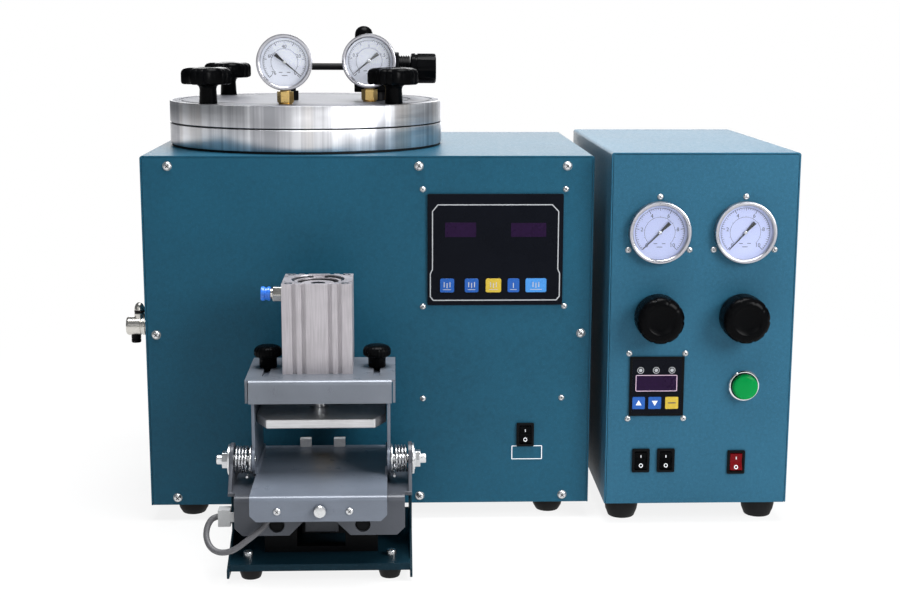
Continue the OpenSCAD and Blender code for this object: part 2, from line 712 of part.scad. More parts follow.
// Pressure regulators behind the knobs: neck, square body and filter bowl
reg_neck_r = 6.8;
reg_body_w = 40;
reg_body_l = 60.5;
reg_bowl_r = 15;
reg_bowl_l = 30;
knob_stem_r = 4;
module box_regulators() color("#2b2d30") placed() for (x = [col_l, col_r])
    translate([x, box_y0, box_knob_z]) difference() {
    back = sheet + reg_body_l;
    union() {
        rod_y(reg_neck_r, -0.8, 2 * sheet);
        block([-reg_body_w / 2, sheet, -reg_body_w / 2], [reg_body_w / 2, back, reg_body_w / 2]);
        rod_y(reg_bowl_r, back - eps, back + reg_bowl_l);
    }
    rod_y(knob_stem_r + fit, -1, 20);
}
module box_knob(x) placed() translate([x, box_y0 - 1, box_knob_z]) rotate([90, 0, 0]) {
    difference() {
        rotate_extrude($fn = 64) polygon([[0, 0], [box_knob_d / 2 - 2, 0], [box_knob_d / 2, 2],
            [box_knob_d / 2, box_knob_l - 5], [box_knob_d / 2 - 3, box_knob_l - 1],
            [box_knob_d / 2 - 7, box_knob_l], [0, box_knob_l]]);
        // shallow grips
        for (a = [0:9]) rotate(a * 36) translate([box_knob_d / 2 + 1.7, 0, 3])
            cylinder(r = 2.4, h = box_knob_l, $fn = 24);
    }
    translate([0, 0, -18]) cylinder(r = knob_stem_r, h = 19);
}
module box_knob_1() color("#141517") box_knob(col_l);
module box_knob_2() color("#141517") box_knob(col_r);

module timer_panel() color("#15171c") placed() {
    block([timer_x - timer_w / 2, box_y0 - overlay_t, timer_z - timer_h / 2],
          [timer_x + timer_w / 2, box_y0, timer_z + timer_h / 2]);
    block([timer_x - timer_w / 2 + 4.3, box_y0 - eps, timer_z - timer_h / 2 + 4.3],
          [timer_x + timer_w / 2 - 4.3, box_y0 + 40, timer_z + timer_h / 2 - 4.3]);
}

module push_button() color("#1f9a55") placed() translate([button_at[0], box_y0, button_at[1]]) {
    rotate([90, 0, 0]) rotate_extrude()
        polygon([[0, 3.6], [11.3, 3.6], [11.3, 8], [10, 9.3], [0, 9.6]]);
    rod_y(9, -4, 11);
}

module box_rocker(i) placed() rocker_paddle(box_rockers_at[i][0], box_rockers_at[i][1], box_y0);
module box_rocker_1() color("#17181a") box_rocker(0);
module box_rocker_2() color("#17181a") box_rocker(1);
module box_rocker_3() color("#b3161b") box_rocker(2);

// ---------- clamp: base and slide ----------

module clamp_base() color("#24607a") placed() translate([clamp_x, 0, 0]) {
    along_x(-base_x + steel, base_x - steel) polygon([
        [base_front + 2, base_floor - 6], [base_front + 2 + steel, base_floor - 6],
        [base_front + 2 + steel, base_floor - steel], [base_back, base_floor - steel],
        [base_back, base_floor], [base_front + 2, base_floor]
    ]);
    for (s = [-1, 1]) along_x(s * base_x - (s + 1) / 2 * steel, s * base_x + (1 - s) / 2 * steel)
        polygon([[base_front, 4], [base_front, 11], [-112, 30], [-112, base_wall_top - 6],
                 [-106, base_wall_top], [base_back, base_wall_top], [base_back, 4]]);
}

module guide_rods() color("#202124") placed() translate([clamp_x, 0, 0]) {
    for (s = [-1, 1]) rod_y(rod_r, -145.5, -18, s * rod_x, rod_z);
    for (y = [-127, -28]) difference() {
        block([-rod_x - 12, y, base_floor], [rod_x + 12, y + 9, rod_z + 9]);
        for (s = [-1, 1]) rod_y(rod_r, y - 1, y + 10, s * rod_x, rod_z);
        block([-slide_half - 1, y - 1, base_floor + 5], [slide_half + 1, y + 10, rod_z + 10]);
    }
}
slide_half = 19;

module slide_cylinder() color("#b5b9bd") placed() translate([clamp_x, 0, 0]) difference() {
    block([-slide_half, -82, base_floor], [slide_half, -34, base_floor + 40]);
    rod_y(5 + fit, -83, -70, 0, slide_z);
    rod_y(14, -74, -38, 0, slide_z);
    for (s = [-1, 1])
        block([s * slide_half - 2, -83, slide_z - 2], [s * slide_half + 2, -33, slide_z + 2]);
}
slide_z = base_floor + 21;

module carriage() color("#8e9499") placed() translate([clamp_x, 0, 0]) {
    difference() {
        union() {
            // floor and front apron with a round fold
            along_x(-apron_w / 2, apron_w / 2) difference() {
                union() {
                    translate([car_front, 37]) square([car_sheet, car_floor - 5 - 37]);
                    translate([car_front + 5, car_floor - car_sheet])
                        square([car_back - car_front - 5, car_sheet]);
                    translate([car_front + 5, car_floor - 5]) circle(5);
                }
                translate([car_front + 5, car_floor - 5]) circle(2);
                translate([car_front + 5, car_floor - 12]) square([20, 12 - car_sheet]);
                translate([car_front + car_sheet, car_floor - 20]) square([20, 15]);
            }
            // wide part of the floor and the ears
            block([-ear_x, ear_front, car_floor - car_sheet], [ear_x, ear_back, car_floor]);
            for (s = [-1, 1]) along_x(s * ear_x - (s + 1) / 2 * car_sheet,
                                      s * ear_x + (1 - s) / 2 * car_sheet) union() {
                polygon([[ear_front, car_floor - 1], [ear_back, car_floor - 1],
                         [pivot_y + ear_r, pivot_z], [pivot_y - ear_r, pivot_z]]);
                translate([pivot_y, pivot_z]) circle(ear_r);
            }
            // bearing blocks around the guide rods
            for (s = [-1, 1]) block([s * rod_x - 11, -104, rod_z - 10],
                                    [s * rod_x + 11, -60, car_floor - car_sheet + eps]);
            // tongue that takes the air cylinder's rod
            block([-14, -114, slide_z - 8], [14, -108, car_floor - car_sheet + eps]);
        }
        for (s = [-1, 1]) {
            rod_y(rod_r + 0.05, -105, -59, s * rod_x, rod_z);
            rod_y(6.25, car_front - 1, car_front + 5, s * rod_x, rod_z);
            rod_x(bolt_r, s * ear_x - 5, s * ear_x + 5, pivot_y, pivot_z);
            // cut corners of the apron
            translate([s * apron_w / 2, car_front - 1, 37]) rotate([0, 45, 0])
                cube([9, 12, 9], center = true);
        }
        along_y(car_front - 1, car_front + 5)
            polygon([[-25, 30], [-25, 37], [-13, 49], [13, 49], [25, 37], [25, 30]]);
    }
    // rod and piston of the air cylinder
    rod_y(5, -108 - eps, -66 + eps, 0, slide_z);
    rod_y(13.9, -66, -60, 0, slide_z);
}

module pivot_bolts() color("#c9cdd0") placed() translate([clamp_x, pivot_y, pivot_z])
    for (s = [0, 1]) mirror([s, 0, 0]) {
    rod_x(bolt_r, frame_in - 0.5, ear_x + washer_t + 9.8);
    // inner washer, outer washer and nut
    difference() {
        union() {
            rod_x(12, frame_x + gap, frame_x + 2.3);
            rod_x(13, ear_x, ear_x + washer_t);
        }
        rod_x(bolt_r - eps, frame_x, ear_x + washer_t + 0.3);
    }
    translate([ear_x + washer_t, 0, 0]) rotate([0, 90, 0]) cylinder(r = 7.5, h = 5, $fn = 6);
}

// Points of one spring's centre line: straight leg, coils, straight end
coil_start = -90;
function coil_pt(t) = [spring_x0 + spring_pitch * t / 360,
                       spring_r * cos(coil_start + t), spring_r * sin(coil_start + t)];
leg_end = [spring_x0, -16, -spring_r];
tail_end = [spring_x0 + spring_pitch * turns, 3, -spring_r];
spring_pts = concat(
    [leg_end, [spring_x0, -4, -spring_r]],
    [for (i = [0:ring_steps * turns]) coil_pt(360 / ring_steps * i)],
    [tail_end]
);
function unit(v) = v / norm(v);
function dir_at(p, i) = unit(p[min(i + 1, len(p) - 1)] - p[max(i - 1, 0)]);
function side_of(d, up) = unit(cross(d, up));

// Tube along points p; up is a direction that no stretch runs along
module tube(p, r, sides, up) {
    rings = [for (i = [0:len(p) - 1]) let (d = dir_at(p, i), a = side_of(d, up), b = cross(a, d))
        for (k = [0:sides - 1]) p[i] + r * (cos(360 * k / sides) * a + sin(360 * k / sides) * b)];
    n = len(p);
    walls = [for (i = [0:n - 2], k = [0:sides - 1]) let (q = (k + 1) % sides)
        each [[i * sides + k, i * sides + q, (i + 1) * sides + q],
              [i * sides + k, (i + 1) * sides + q, (i + 1) * sides + k]]];
    cap_a = [for (k = [1:sides - 2]) [0, k + 1, k]];
    cap_b = [for (k = [1:sides - 2]) [(n - 1) * sides, (n - 1) * sides + k, (n - 1) * sides + k + 1]];
    polyhedron(points = rings, faces = concat(walls, cap_a, cap_b));
}
coil_gap = min([for (i = [0:ring_steps * turns], j = [0:ring_steps * turns])
    if (j - i > ring_steps / 2) norm(coil_pt(45 * i) - coil_pt(45 * j)) - 2 * wire_r]);
echo(coil_gap = coil_gap);

module torsion_springs() color("#b9bdc1") placed() translate([clamp_x, pivot_y, pivot_z])
    for (s = [0, 1]) mirror([s, 0, 0]) tube(spring_pts, wire_r, 6, [1, 0, 0]);

// ---------- clamp: tilting frame ----------

module tray() color("#9aa0a6") placed() translate([clamp_x, 0, 0]) {
    difference() {
        union() {
            along_x(-tray_x, tray_x) difference() {
                union() {
                    translate([tray_front, apron_low]) square([steel, tray_z - 4 - apron_low]);
                    translate([tray_front + 4, tray_z - steel])
                        square([tray_back - tray_front - 4, steel]);
                    translate([tray_front + 4, tray_z - 4]) circle(4);
                }
                translate([tray_front + 4, tray_z - 4]) circle(2);
                translate([tray_front + 4, tray_z - 12]) square([20, 12 - steel]);
                translate([tray_front + steel, tray_z - 20]) square([20, 16]);
            }
            // upright flanges beside the side plates
            for (s = [-1, 1]) block([s * (tray_x - 1) - 1, side_front + 3, tray_z - eps],
                                    [s * (tray_x - 1) + 1, side_back - 3, tray_z + 6]);
        }
        rod_y(start_r - 1.1, tray_front - 1, tray_front + 5, start_x - clamp_x, start_z);
        for (s = [-1, 1]) {
            translate([s * tray_x, tray_front - 1, apron_low]) rotate([0, 45, 0])
                cube([7, 12, 7], center = true);
        }
    }
    // switch body behind the apron
    difference() {
        rod_y(7.5, tray_front + steel, tray_front + 13, start_x - clamp_x, start_z);
        rod_y(start_r - 1.1, tray_front, tray_front + 11, start_x - clamp_x, start_z);
    }
}

module start_button() color("#d9dbdd") placed() translate([start_x, tray_front, start_z]) {
    rotate([90, 0, 0]) rotate_extrude() polygon([[0, 1.5], [start_r, 1.5],
        [start_r, start_cap_out - 0.5], [start_r - 1, start_cap_out], [0, start_cap_out]]);
    rod_y(start_r - 1.1 - fit, -2, 8);
}

module side_plates() color("#8e9499") placed() translate([clamp_x, 0, 0]) {
    for (s = [-1, 1]) difference() {
        union() {
            along_x(s > 0 ? frame_in : -frame_x, s > 0 ? frame_x : -frame_in) polygon([
                [side_front, 78], [side_front + 5, tray_z - steel], [side_back - 5, tray_z - steel],
                [side_back, 78], [side_back, head_z - 1], [side_front, head_z - 1]
            ]);
            rod_x(11, s > 0 ? frame_in : -frame_x, s > 0 ? frame_x : -frame_in, pivot_y, pivot_z);
            // flange that carries the head's stud
            block([s > 0 ? frame_x - 20 : -frame_x, side_front + 8, head_z - 3.5],
                  [s > 0 ? frame_x : -frame_x + 20, side_back, head_z - 1]);
        }
        rod_x(bolt_r + fit, s * frame_x - 5, s * frame_x + 5, pivot_y, pivot_z);
        translate([s * stud_x, stud_y, head_z - 10]) cylinder(r = stud_r + fit, h = 12);
    }
    // tie across the back
    block([-frame_in - eps, side_back + 3, 128], [frame_in + eps, side_back + 5.5, 150]);
    for (s = [-1, 1]) block([s > 0 ? frame_in : -frame_x, side_back - 2, 128],
                            [s > 0 ? frame_x : -frame_in, side_back + 5.5, 150]);
}

module mould_stops() color("#c8cac9") placed() for (s = [-1, 1])
    block([axis_x + s * 15 - 5, tray_back - 6, tray_z], [axis_x + s * 15 + 5, tray_back, tray_z + 7.7]);

// ---------- clamp: head ----------

module top_bracket() color("#aab2b8") placed() translate([clamp_x, 0, 0]) difference() {
    union() {
        along_x(-head_w / 2 + 3, head_w / 2 - 3) difference() {
            union() {
                translate([head_front, head_z + steel - head_drop]) square([steel, head_drop - 4]);
                translate([head_front + 4, head_z]) square([head_back - head_front - 4, steel]);
                translate([head_front + 4, head_z + steel - 4]) circle(4);
            }
            translate([head_front + 4, head_z + steel - 4]) circle(2);
            translate([head_front + 4, head_z - 8]) square([20, 8]);
            translate([head_front + steel, head_z - 12]) square([20, 10]);
        }
        for (s = [0, 1]) mirror([s, 0, 0]) {
            block([head_w / 2 - steel, head_front + 3, head_z + steel - head_drop],
                  [head_w / 2, head_back, head_z + steel]);
            block([head_w / 2 - 3 - eps, head_front + 3, head_z], [head_w / 2, head_back, head_z + steel]);
        }
    }
    translate([axis_x - clamp_x, axis_y, head_z - 5]) cylinder(r = 11, h = 12);
    for (s = [-1, 1]) translate([s * stud_x, 0, head_z - 1]) {
        block([-stud_r - 0.3, -98, 0], [stud_r + 0.3, -58, 5]);
        for (y = [-98, -58]) translate([0, y, 0]) cylinder(r = stud_r + 0.3, h = 5);
    }
}

module press_cylinder() color("#bdb9b8") placed() translate([axis_x, axis_y, 0]) {
    difference() {
        block([-cyl_w / 2, -cyl_d / 2, cyl_z], [cyl_w / 2, cyl_d / 2, cyl_top]);
        translate([0, 0, cyl_z + 9]) cylinder(r = cyl_bore_r, h = cyl_h);
        translate([0, 0, cyl_top - 3]) cylinder(r = cyl_bore_r + 2.5, h = 5);
        translate([0, 0, cyl_z - 1]) cylinder(r = piston_rod_r + fit, h = 12);
        rod_x(4, -cyl_w / 2 - 1, -cyl_bore_r + 1, 0, fitting_z);
        // long grooves in the four sides
        for (s = [-1, 1], x = [-19, -11, 11, 19]) translate([x, s * cyl_d / 2, 0])
            block([-groove_w / 2, -groove_t, cyl_z - 1], [groove_w / 2, groove_t, cyl_top + 1]);
        for (s = [-1, 1], y = [-14, 14]) translate([s * cyl_w / 2, y, 0])
            block([-groove_t, -groove_w / 2, cyl_z - 1], [groove_t, groove_w / 2, cyl_top + 1]);
    }
    // end cover held by a ring
    translate([0, 0, cyl_top - 9]) cylinder(r = cyl_bore_r, h = 5.5);
    difference() {
        translate([0, 0, cyl_top - 3]) cylinder(r = cyl_bore_r + 2.4, h = 1.2);
        translate([0, 0, cyl_top - 4]) cylinder(r = cyl_bore_r - 2.5, h = 4);
    }
}
fitting_z = cyl_top - 12.5;
groove_w = 3.4;
groove_t = 3.2;

module piston_rod() color("#c9cdd0") placed() translate([axis_x, axis_y, 0]) {
    translate([0, 0, piston_z]) cylinder(r = cyl_bore_r - fit, h = piston_t);
    translate([0, 0, press_z + press_t - 5])
        cylinder(r = piston_rod_r, h = piston_z - press_z - press_t + 5 + eps);
}

module press_plate() color("#c4c6c8") placed() difference() {
    translate([clamp_x, 0, press_z]) linear_extrude(press_t) polygon([
        [-45, press_front], [45, press_front], [54.3, press_front + 19],
        [54.3, press_back], [-54.3, press_back], [-54.3, press_front + 19]
    ]);
    translate([axis_x, axis_y, press_z + press_t - 5]) cylinder(r = piston_rod_r, h = 6);
}

module air_fitting() color("#3f7fd0") placed()
    translate([axis_x - cyl_w / 2, axis_y, fitting_z]) difference() {
    union() {
        rod_x(4, -1, 3);
        translate([-9, 0, 0]) rotate([0, 90, 0]) cylinder(r = 7, h = 9, $fn = 6);
        rod_x(4.6, -11, -8.9);
        rod_x(6, -19, -11);
    }
    rod_x(3, -20, -7);
    rod_x(1.5, -8, 4);
}

// Lock knob with its stud
module lock_knob(s) placed() translate([clamp_x + s * stud_x, stud_y, head_z + steel + fit]) {
    rotate_extrude() polygon([[0, 0], [7.5, 0], [7.5, 8.5], [11.8, 10.5], [12, 14], [10.5, 17.5],
                              [7, 19], [0, 19.3]]);
    translate([0, 0, -9]) cylinder(r = stud_r, h = 10);
}
module head_knob_1() color("#141517") lock_knob(-1);
module head_knob_2() color("#141517") lock_knob(1);

// ---------- button cable ----------

module button_cable() color("#3a3b3e") placed() tube(cable_pts, cable_d / 2, cable_sides, [0.3, 1, 0.2]);

module cable_ends() color("#8c8f93") placed() {
    // connector beside the carriage's apron, with the tab that carries it
    block([-122, -144, 44], [-112, -133, 58]);
    block([-113, -143.9, 48], [-100, -142, 56]);
    // clip on the apron's front
    block([-84, -154.5, 56], [-76, car_front, 62]);
}

cabinet_cover();
cabinet_front();
cabinet_base();
panel_screws();
rubber_feet();
wax_pot();
pot_seals();
heater_band();
pot_lid();
lid_knob_1();
lid_knob_2();
lid_knob_3();
lid_knob_4();
lid_gauges();
lid_needle_1();
lid_needle_2();
lid_regulator();
lid_regulator_knob();
lid_hose();
nozzle_block();
nozzle_tip();
display_panel();
cabinet_rocker();
switch_bodies();
vacuum_pump();
control_board();
side_valve();
power_inlets();
box_cover();
box_chassis();
box_gauges();
box_needle_1();
box_needle_2();
box_regulators();
box_knob_1();
box_knob_2();
timer_panel();
push_button();
box_rocker_1();
box_rocker_2();
box_rocker_3();
clamp_base();
guide_rods();
slide_cylinder();
carriage();
pivot_bolts();
torsion_springs();
tray();
side_plates();
mould_stops();
start_button();
top_bracket();
press_cylinder();
piston_rod();
press_plate();
air_fitting();
head_knob_1();
head_knob_2();
button_cable();
cable_ends();
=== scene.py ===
import json
from math import cos, exp, hypot, log, pi, radians, sin, sqrt

import bmesh
import bpy
from mathutils import Matrix, Vector

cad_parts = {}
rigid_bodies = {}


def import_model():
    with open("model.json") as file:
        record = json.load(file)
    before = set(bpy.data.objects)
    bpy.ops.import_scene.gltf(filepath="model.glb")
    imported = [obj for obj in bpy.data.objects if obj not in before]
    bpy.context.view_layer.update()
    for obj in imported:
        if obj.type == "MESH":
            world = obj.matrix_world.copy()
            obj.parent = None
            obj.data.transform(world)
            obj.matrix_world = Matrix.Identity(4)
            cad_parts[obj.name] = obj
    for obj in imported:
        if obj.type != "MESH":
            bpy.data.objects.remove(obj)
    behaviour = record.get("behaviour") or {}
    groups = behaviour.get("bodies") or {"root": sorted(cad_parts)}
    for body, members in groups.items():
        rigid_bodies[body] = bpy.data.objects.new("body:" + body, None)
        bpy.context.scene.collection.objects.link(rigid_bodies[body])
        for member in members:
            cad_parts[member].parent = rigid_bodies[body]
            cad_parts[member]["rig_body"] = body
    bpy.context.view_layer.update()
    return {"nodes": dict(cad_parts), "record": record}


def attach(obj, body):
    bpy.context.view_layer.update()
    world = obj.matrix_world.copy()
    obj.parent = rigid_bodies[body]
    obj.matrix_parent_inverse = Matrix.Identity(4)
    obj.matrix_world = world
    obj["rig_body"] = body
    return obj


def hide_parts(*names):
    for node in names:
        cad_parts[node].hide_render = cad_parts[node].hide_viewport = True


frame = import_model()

scene = bpy.context.scene

# -------- places, in mm
# X from the cabinet's middle, Y from its front, Z from the bench.
CAB_TOP = 334.0
POT_X, POT_Y = -61.5, 139.5
FLANGE_Z, PART_Z, LID_TOP = 336.0, 356.0, 376.5
STARS = [(POT_X + 84 * i, POT_Y + 84 * j) for i, j in ((-1, -1), (1, -1), (-1, 1), (1, 1))]
LID_GAUGE_Z = LID_TOP + 37.5
LID_GAUGES = [(POT_X - 13.5, POT_Y - 94.0), (POT_X + 61.3, POT_Y - 48.0)]
REG_X, REG_Y, REG_Z = POT_X + 68.0, POT_Y - 24.0, LID_TOP + 30
DISPLAY = (52.0, 200.4, 173.0, 300.4)
BOX_X0, BOX_Y0, BOX_W, BOX_TOP = 212.3, -20.0, 166.6, 338.5
BOX_MID = BOX_X0 + BOX_W / 2
COLUMNS = (BOX_MID - 39.8, BOX_MID + 36.0)
BOX_GAUGE_Z, BOX_KNOB_Z = BOX_TOP - 70, BOX_TOP - 145.5
TIMER = (232.6, 102.0, 281.6, 156.4)
BUTTON = (COLUMNS[1] + 4.4, BOX_TOP - 209.2)
ROCKERS = [("cabinet_rocker", 141.3, 79.6, 0.0), ("box_rocker_1", BOX_MID - 50.9, BOX_TOP - 278.3, BOX_Y0),
           ("box_rocker_2", BOX_MID - 28.2, BOX_TOP - 278.3, BOX_Y0),
           ("box_rocker_3", COLUMNS[1], BOX_TOP - 280.4, BOX_Y0)]
INLETS = ((120.0, 286.0, 60.0), (BOX_MID, 264.0, 64.5))
VALVE = (-200.0, 100.0, 162.0)
CLAMP_X = -39.0
PIVOT_Y, PIVOT_Z = -105.0, 89.5
AXIS_X, AXIS_Y = -42.0, -67.0
BRACKET_TOP, CYL_TOP, CYL_W = 159.5, 236.0, 58.5
TRAY_FRONT, APRON_Z = -167.0, 64.3
CABLE_R = 2.5
CABLE = [(-122, -139, 51), (-123.3, -139, 51), (-127.5, -140.4, 49.3), (-130.4, -143.5, 45),
         (-131.3, -147, 40.3), (-130.6, -150.5, 36.1), (-128.2, -154.2, 32), (-124.3, -157.3, 29.1),
         (-119.2, -159.6, 27.9), (-113.4, -160.9, 28.5), (-108.2, -161.4, 30.4), (-102.9, -161, 33.5),
         (-98.4, -160, 36.7), (-93.8, -158.5, 39.9), (-89.4, -156.5, 43), (-84.8, -154.1, 46.6),
         (-81.4, -152, 50.8), (-80, -151, 54.7), (-80, -151, 56)]


def mm(x, y, z):
    """Millimetres from the cabinet's front edge to metres in the shared frame."""
    return Vector(((x - 72.2) / 1000, (y - 59.0) / 1000, z / 1000))


# -------- finishes
SLOW_GRAIN = 38.0      # scale of the blotches that handling leaves
GLOSS_DRIFT = 0.08     # roughness either way
FACE_R = 0.1275        # the lid's flat face ends here, in metres
RINGS, BANDS = 1700.0, 150.0    # fine turning lines and broad ones, along a radius in metres


class Amount:
    """What a node gives; sums written on it add their nodes."""

    def __init__(self, nodes, socket):
        self.nodes, self.socket = nodes, socket

    def part(self, name):
        """Another output of the same node."""
        return Amount(self.nodes, self.socket.node.outputs[name])

    def larger(self, other):
        return self._sum("MAXIMUM", self, other)

    def _sum(self, what, a, b):
        return self.nodes.node("Math", {"operation": what}, {0: a, 1: b})

    def __add__(self, other): return self._sum("ADD", self, other)
    def __mul__(self, other): return self._sum("MULTIPLY", self, other)
    def __pow__(self, other): return self._sum("POWER", self, other)
    def __gt__(self, other): return self._sum("GREATER_THAN", self, other)
    def __lt__(self, other): return self._sum("LESS_THAN", self, other)


class Nodes:
    """A node tree, where one method makes any node."""

    def __init__(self, tree):
        self.tree = tree
        tree.nodes.clear()

    def feed(self, socket, value):
        if isinstance(value, Amount):
            self.tree.links.new(value.socket, socket)
        else:
            socket.default_value = value

    def node(self, kind, settings=None, inputs=None, out=0):
        made = self.tree.nodes.new("ShaderNode" + kind)
        for name, value in (settings or {}).items():
            setattr(made, name, value)
        for name, value in (inputs or {}).items():
            self.feed(made.inputs[name], value)
        return Amount(self, made.outputs[out]) if made.outputs else None


def opaque(colour):
    return (*colour, 1.0) if isinstance(colour, tuple) else colour


def shaded(colour, by):
    return tuple(min(1.0, c * by) for c in colour)


class Finish(Nodes):
    """One paint, metal or plastic, built on a Principled shader."""

    def __init__(self, name, colour, rough, metal=0.0, gloss=0.5):
        self.mat = bpy.data.materials.new(name)
        self.mat.use_nodes = True
        super().__init__(self.mat.node_tree)
        self.colour, self.rough = colour, rough
        self.surface = self.node("BsdfPrincipled")
        self.output = self.tree.nodes.new("ShaderNodeOutputMaterial").inputs[0]
        self.feed(self.output, self.surface)
        self.set(**{"Base Color": opaque(colour), "Roughness": rough, "Metallic": metal,
                    "Specular IOR Level": gloss})

    def set(self, **sockets):
        for name, value in sockets.items():
            self.feed(self.surface.socket.node.inputs[name], value)

    def where(self):
        """Place on the piece, in metres."""
        return self.node("TexCoord", out=3)

    def noise(self, scale, detail, at=None, rough=0.5):
        return self.node("TexNoise", {}, {"Vector": at or self.where(), "Scale": scale,
                                          "Detail": detail, "Roughness": rough})

    def span(self, value, low, high, to_low, to_high):
        return self.node("MapRange", {"clamp": True}, {0: value, 1: low, 2: high, 3: to_low, 4: to_high})

    def tint(self, factor, a, b):
        return self.node("Mix", {"data_type": "RGBA"}, {0: factor, 6: opaque(a), 7: opaque(b)}, out=2)

    def tones(self, tone, dark, light):
        """The finish's own colour from dark to light."""
        return self.tint(tone, shaded(self.colour, dark), shaded(self.colour, light))

    def relief(self, height, strength, depth_mm):
        self.set(Normal=self.node("Bump", {}, {"Strength": strength, "Distance": depth_mm / 1000,
                                               "Height": height}))

    def blend_in(self, factor, under, over):
        """Mixes two shaders into the output."""
        self.feed(self.output, self.node("MixShader", {}, {0: factor, 1: under, 2: over}))

    def worn(self, grain, spread, bump, depth_mm=0.05):
        """Fine grain in colour, gloss and relief, over a slow drift like handling marks."""
        fine = self.noise(grain, 3.0)
        slow = self.noise(SLOW_GRAIN, 2.0)
        tone = self.span(fine * 0.6 + slow * 0.4, 0.3, 0.7, 0.0, 1.0)
        rough = max(0.02, self.rough - GLOSS_DRIFT), self.rough + GLOSS_DRIFT
        self.set(**{"Base Color": self.tones(tone, 1 - spread, 1 + spread),
                    "Roughness": self.span(slow * 0.7 + fine * 0.3, 0.3, 0.7, *rough)})
        self.relief(fine, bump, depth_mm)
        return self


def powder_coat(name, colour, gloss=0.13):
    """Fine hammered powder coat: mottled tone, orange-peel skin, small pale flecks."""
    f = Finish(name, colour, 0.42, 0.0, gloss)
    peel = f.noise(1300.0, 2.5)
    cloud = f.noise(330.0, 3.0)
    drift = f.noise(9.0, 2.0)
    fleck = f.span(f.noise(2100.0, 1.0), 0.66, 0.74, 0.0, 0.55)
    base = f.tones(f.span(cloud * 0.55 + drift * 0.45, 0.3, 0.7, 0.0, 1.0), 0.84, 1.17)
    f.set(**{"Base Color": f.tint(fleck, base, tuple(2.6 * c + 0.03 for c in colour)),
             "Roughness": f.span(cloud * 0.5 + peel * 0.5, 0.3, 0.7, 0.34, 0.52)})
    f.relief(peel * 0.7 + cloud * 0.3, 0.22, 0.09)
    return f.mat


def silver_coat(name, colour, metal, rough, gloss=0.4):
    """Smooth metallic paint with fine flakes and faint rub marks."""
    f = Finish(name, colour, rough, metal, gloss)
    flake = f.noise(2600.0, 1.0)
    cloud = f.noise(24.0, 2.0)
    rub = f.noise(70.0, 3.0)
    tone = f.span(flake * 0.35 + cloud * 0.65, 0.32, 0.68, 0.0, 1.0)
    f.set(**{"Base Color": f.tones(tone, 0.88, 1.12),
             "Roughness": f.span(rub * 0.6 + flake * 0.4, 0.35, 0.65, rough - 0.03, rough + 0.05)})
    f.relief(flake, 0.06, 0.03)
    return f.mat


def turned_steel(name):
    """Lathe-turned steel: rings on the flat faces, lines round the rim, painted reflection streaks, and a top
    face painted darker for its dark reflection.
    """
    f = Finish(name, (0.64, 0.635, 0.64), 0.26, 1.0)
    place = f.node("VectorMath", {"operation": "SUBTRACT"}, {0: f.where(), 1: tuple(mm(POT_X, POT_Y, 0))})
    x = f.node("SeparateXYZ", {}, {0: place})
    y, z = x.part("Y"), x.part("Z")
    radius = (x * x + y * y) ** 0.5
    turn = f.node("Math", {"operation": "ARCTAN2"}, {0: y, 1: x})
    round_place = f.node("CombineXYZ", {}, {0: turn, 1: z * 0.15})
    # painted reflection: light and dark streaks round the pot by angle, as on a turned rim
    reflection_streak = f.noise(7.0, 5.0, round_place, 0.62)
    rings = f.noise(1.0, 3.0, f.node("CombineXYZ", {}, {0: radius * RINGS, 1: z * 1500.0, 2: turn * 0.6}))
    wide = f.noise(1.0, 2.0, f.node("CombineXYZ", {}, {0: radius * BANDS, 1: z * 110.0, 2: turn * 2.0}))
    # a slow lobe round the pot that adds to the painted reflection streaks
    sweep = f.node("Math", {"operation": "COSINE"}, {0: turn * 7.0 + radians(595)})
    tone = f.span(reflection_streak + sweep * 0.07, 0.4, 0.62, 0.0, 1.0)
    base = f.tint(tone, (0.36, 0.365, 0.40), (0.96, 0.965, 1.0))
    warm = f.span(f.noise(3.1, 2.0, round_place), 0.56, 0.68, 0.0, 0.35)
    base = f.tint(warm, base, (0.56, 0.45, 0.33))
    # the lid's flat top: turning bands in a dark colour, painted in for its dark reflection, and a rougher
    # gloss
    level = (z > (LID_TOP - 1) / 1000) * (radius < FACE_R)
    face = f.span(wide * 0.7 + reflection_streak * 0.3, 0.35, 0.65, 0.0, 1.0)
    face = f.tint(face, (0.13, 0.135, 0.155), (0.21, 0.215, 0.24))
    f.set(**{"Base Color": f.tint(level, f.tint(0.15, base, f.colour), face),
             "Roughness": f.span(rings * 0.5 + wide * 0.5, 0.35, 0.65, 0.32, 0.46) + level * 0.14})
    f.relief(rings, 0.16, 0.04)
    return f.mat


def drawn_metal(name, colour, rough, metal, along=(1.0, 1.0, 0.04), grain=1100.0, spread=0.18):
    """Metal with fine lines that run along one axis."""
    f = Finish(name, colour, rough, metal)
    lines = f.noise(grain, 3.0, f.node("VectorMath", {"operation": "MULTIPLY"}, {0: f.where(), 1: along}))
    cloud = f.noise(45.0, 3.0)
    tone = f.span(lines * 0.6 + cloud * 0.4, 0.33, 0.67, 0.0, 1.0)
    f.set(**{"Base Color": f.tones(tone, 1 - spread, 1 + spread),
             "Roughness": f.span(lines * 0.5 + cloud * 0.5, 0.35, 0.65, rough - 0.07, rough + 0.09)})
    f.relief(lines, 0.1, 0.03)
    return f.mat


def metal(name, colour, rough, grain, spread, bump=0.1):
    """Plain bare metal with fine grain."""
    return Finish(name, colour, rough, 1.0).worn(grain, spread, bump).mat


def plain(name, colour, rough, grain, spread, bump=0.1, depth_mm=0.05, gloss=0.5, metal=0.0):
    """Plastic, rubber, card or print with fine grain."""
    return Finish(name, colour, rough, metal, gloss).worn(grain, spread, bump, depth_mm).mat


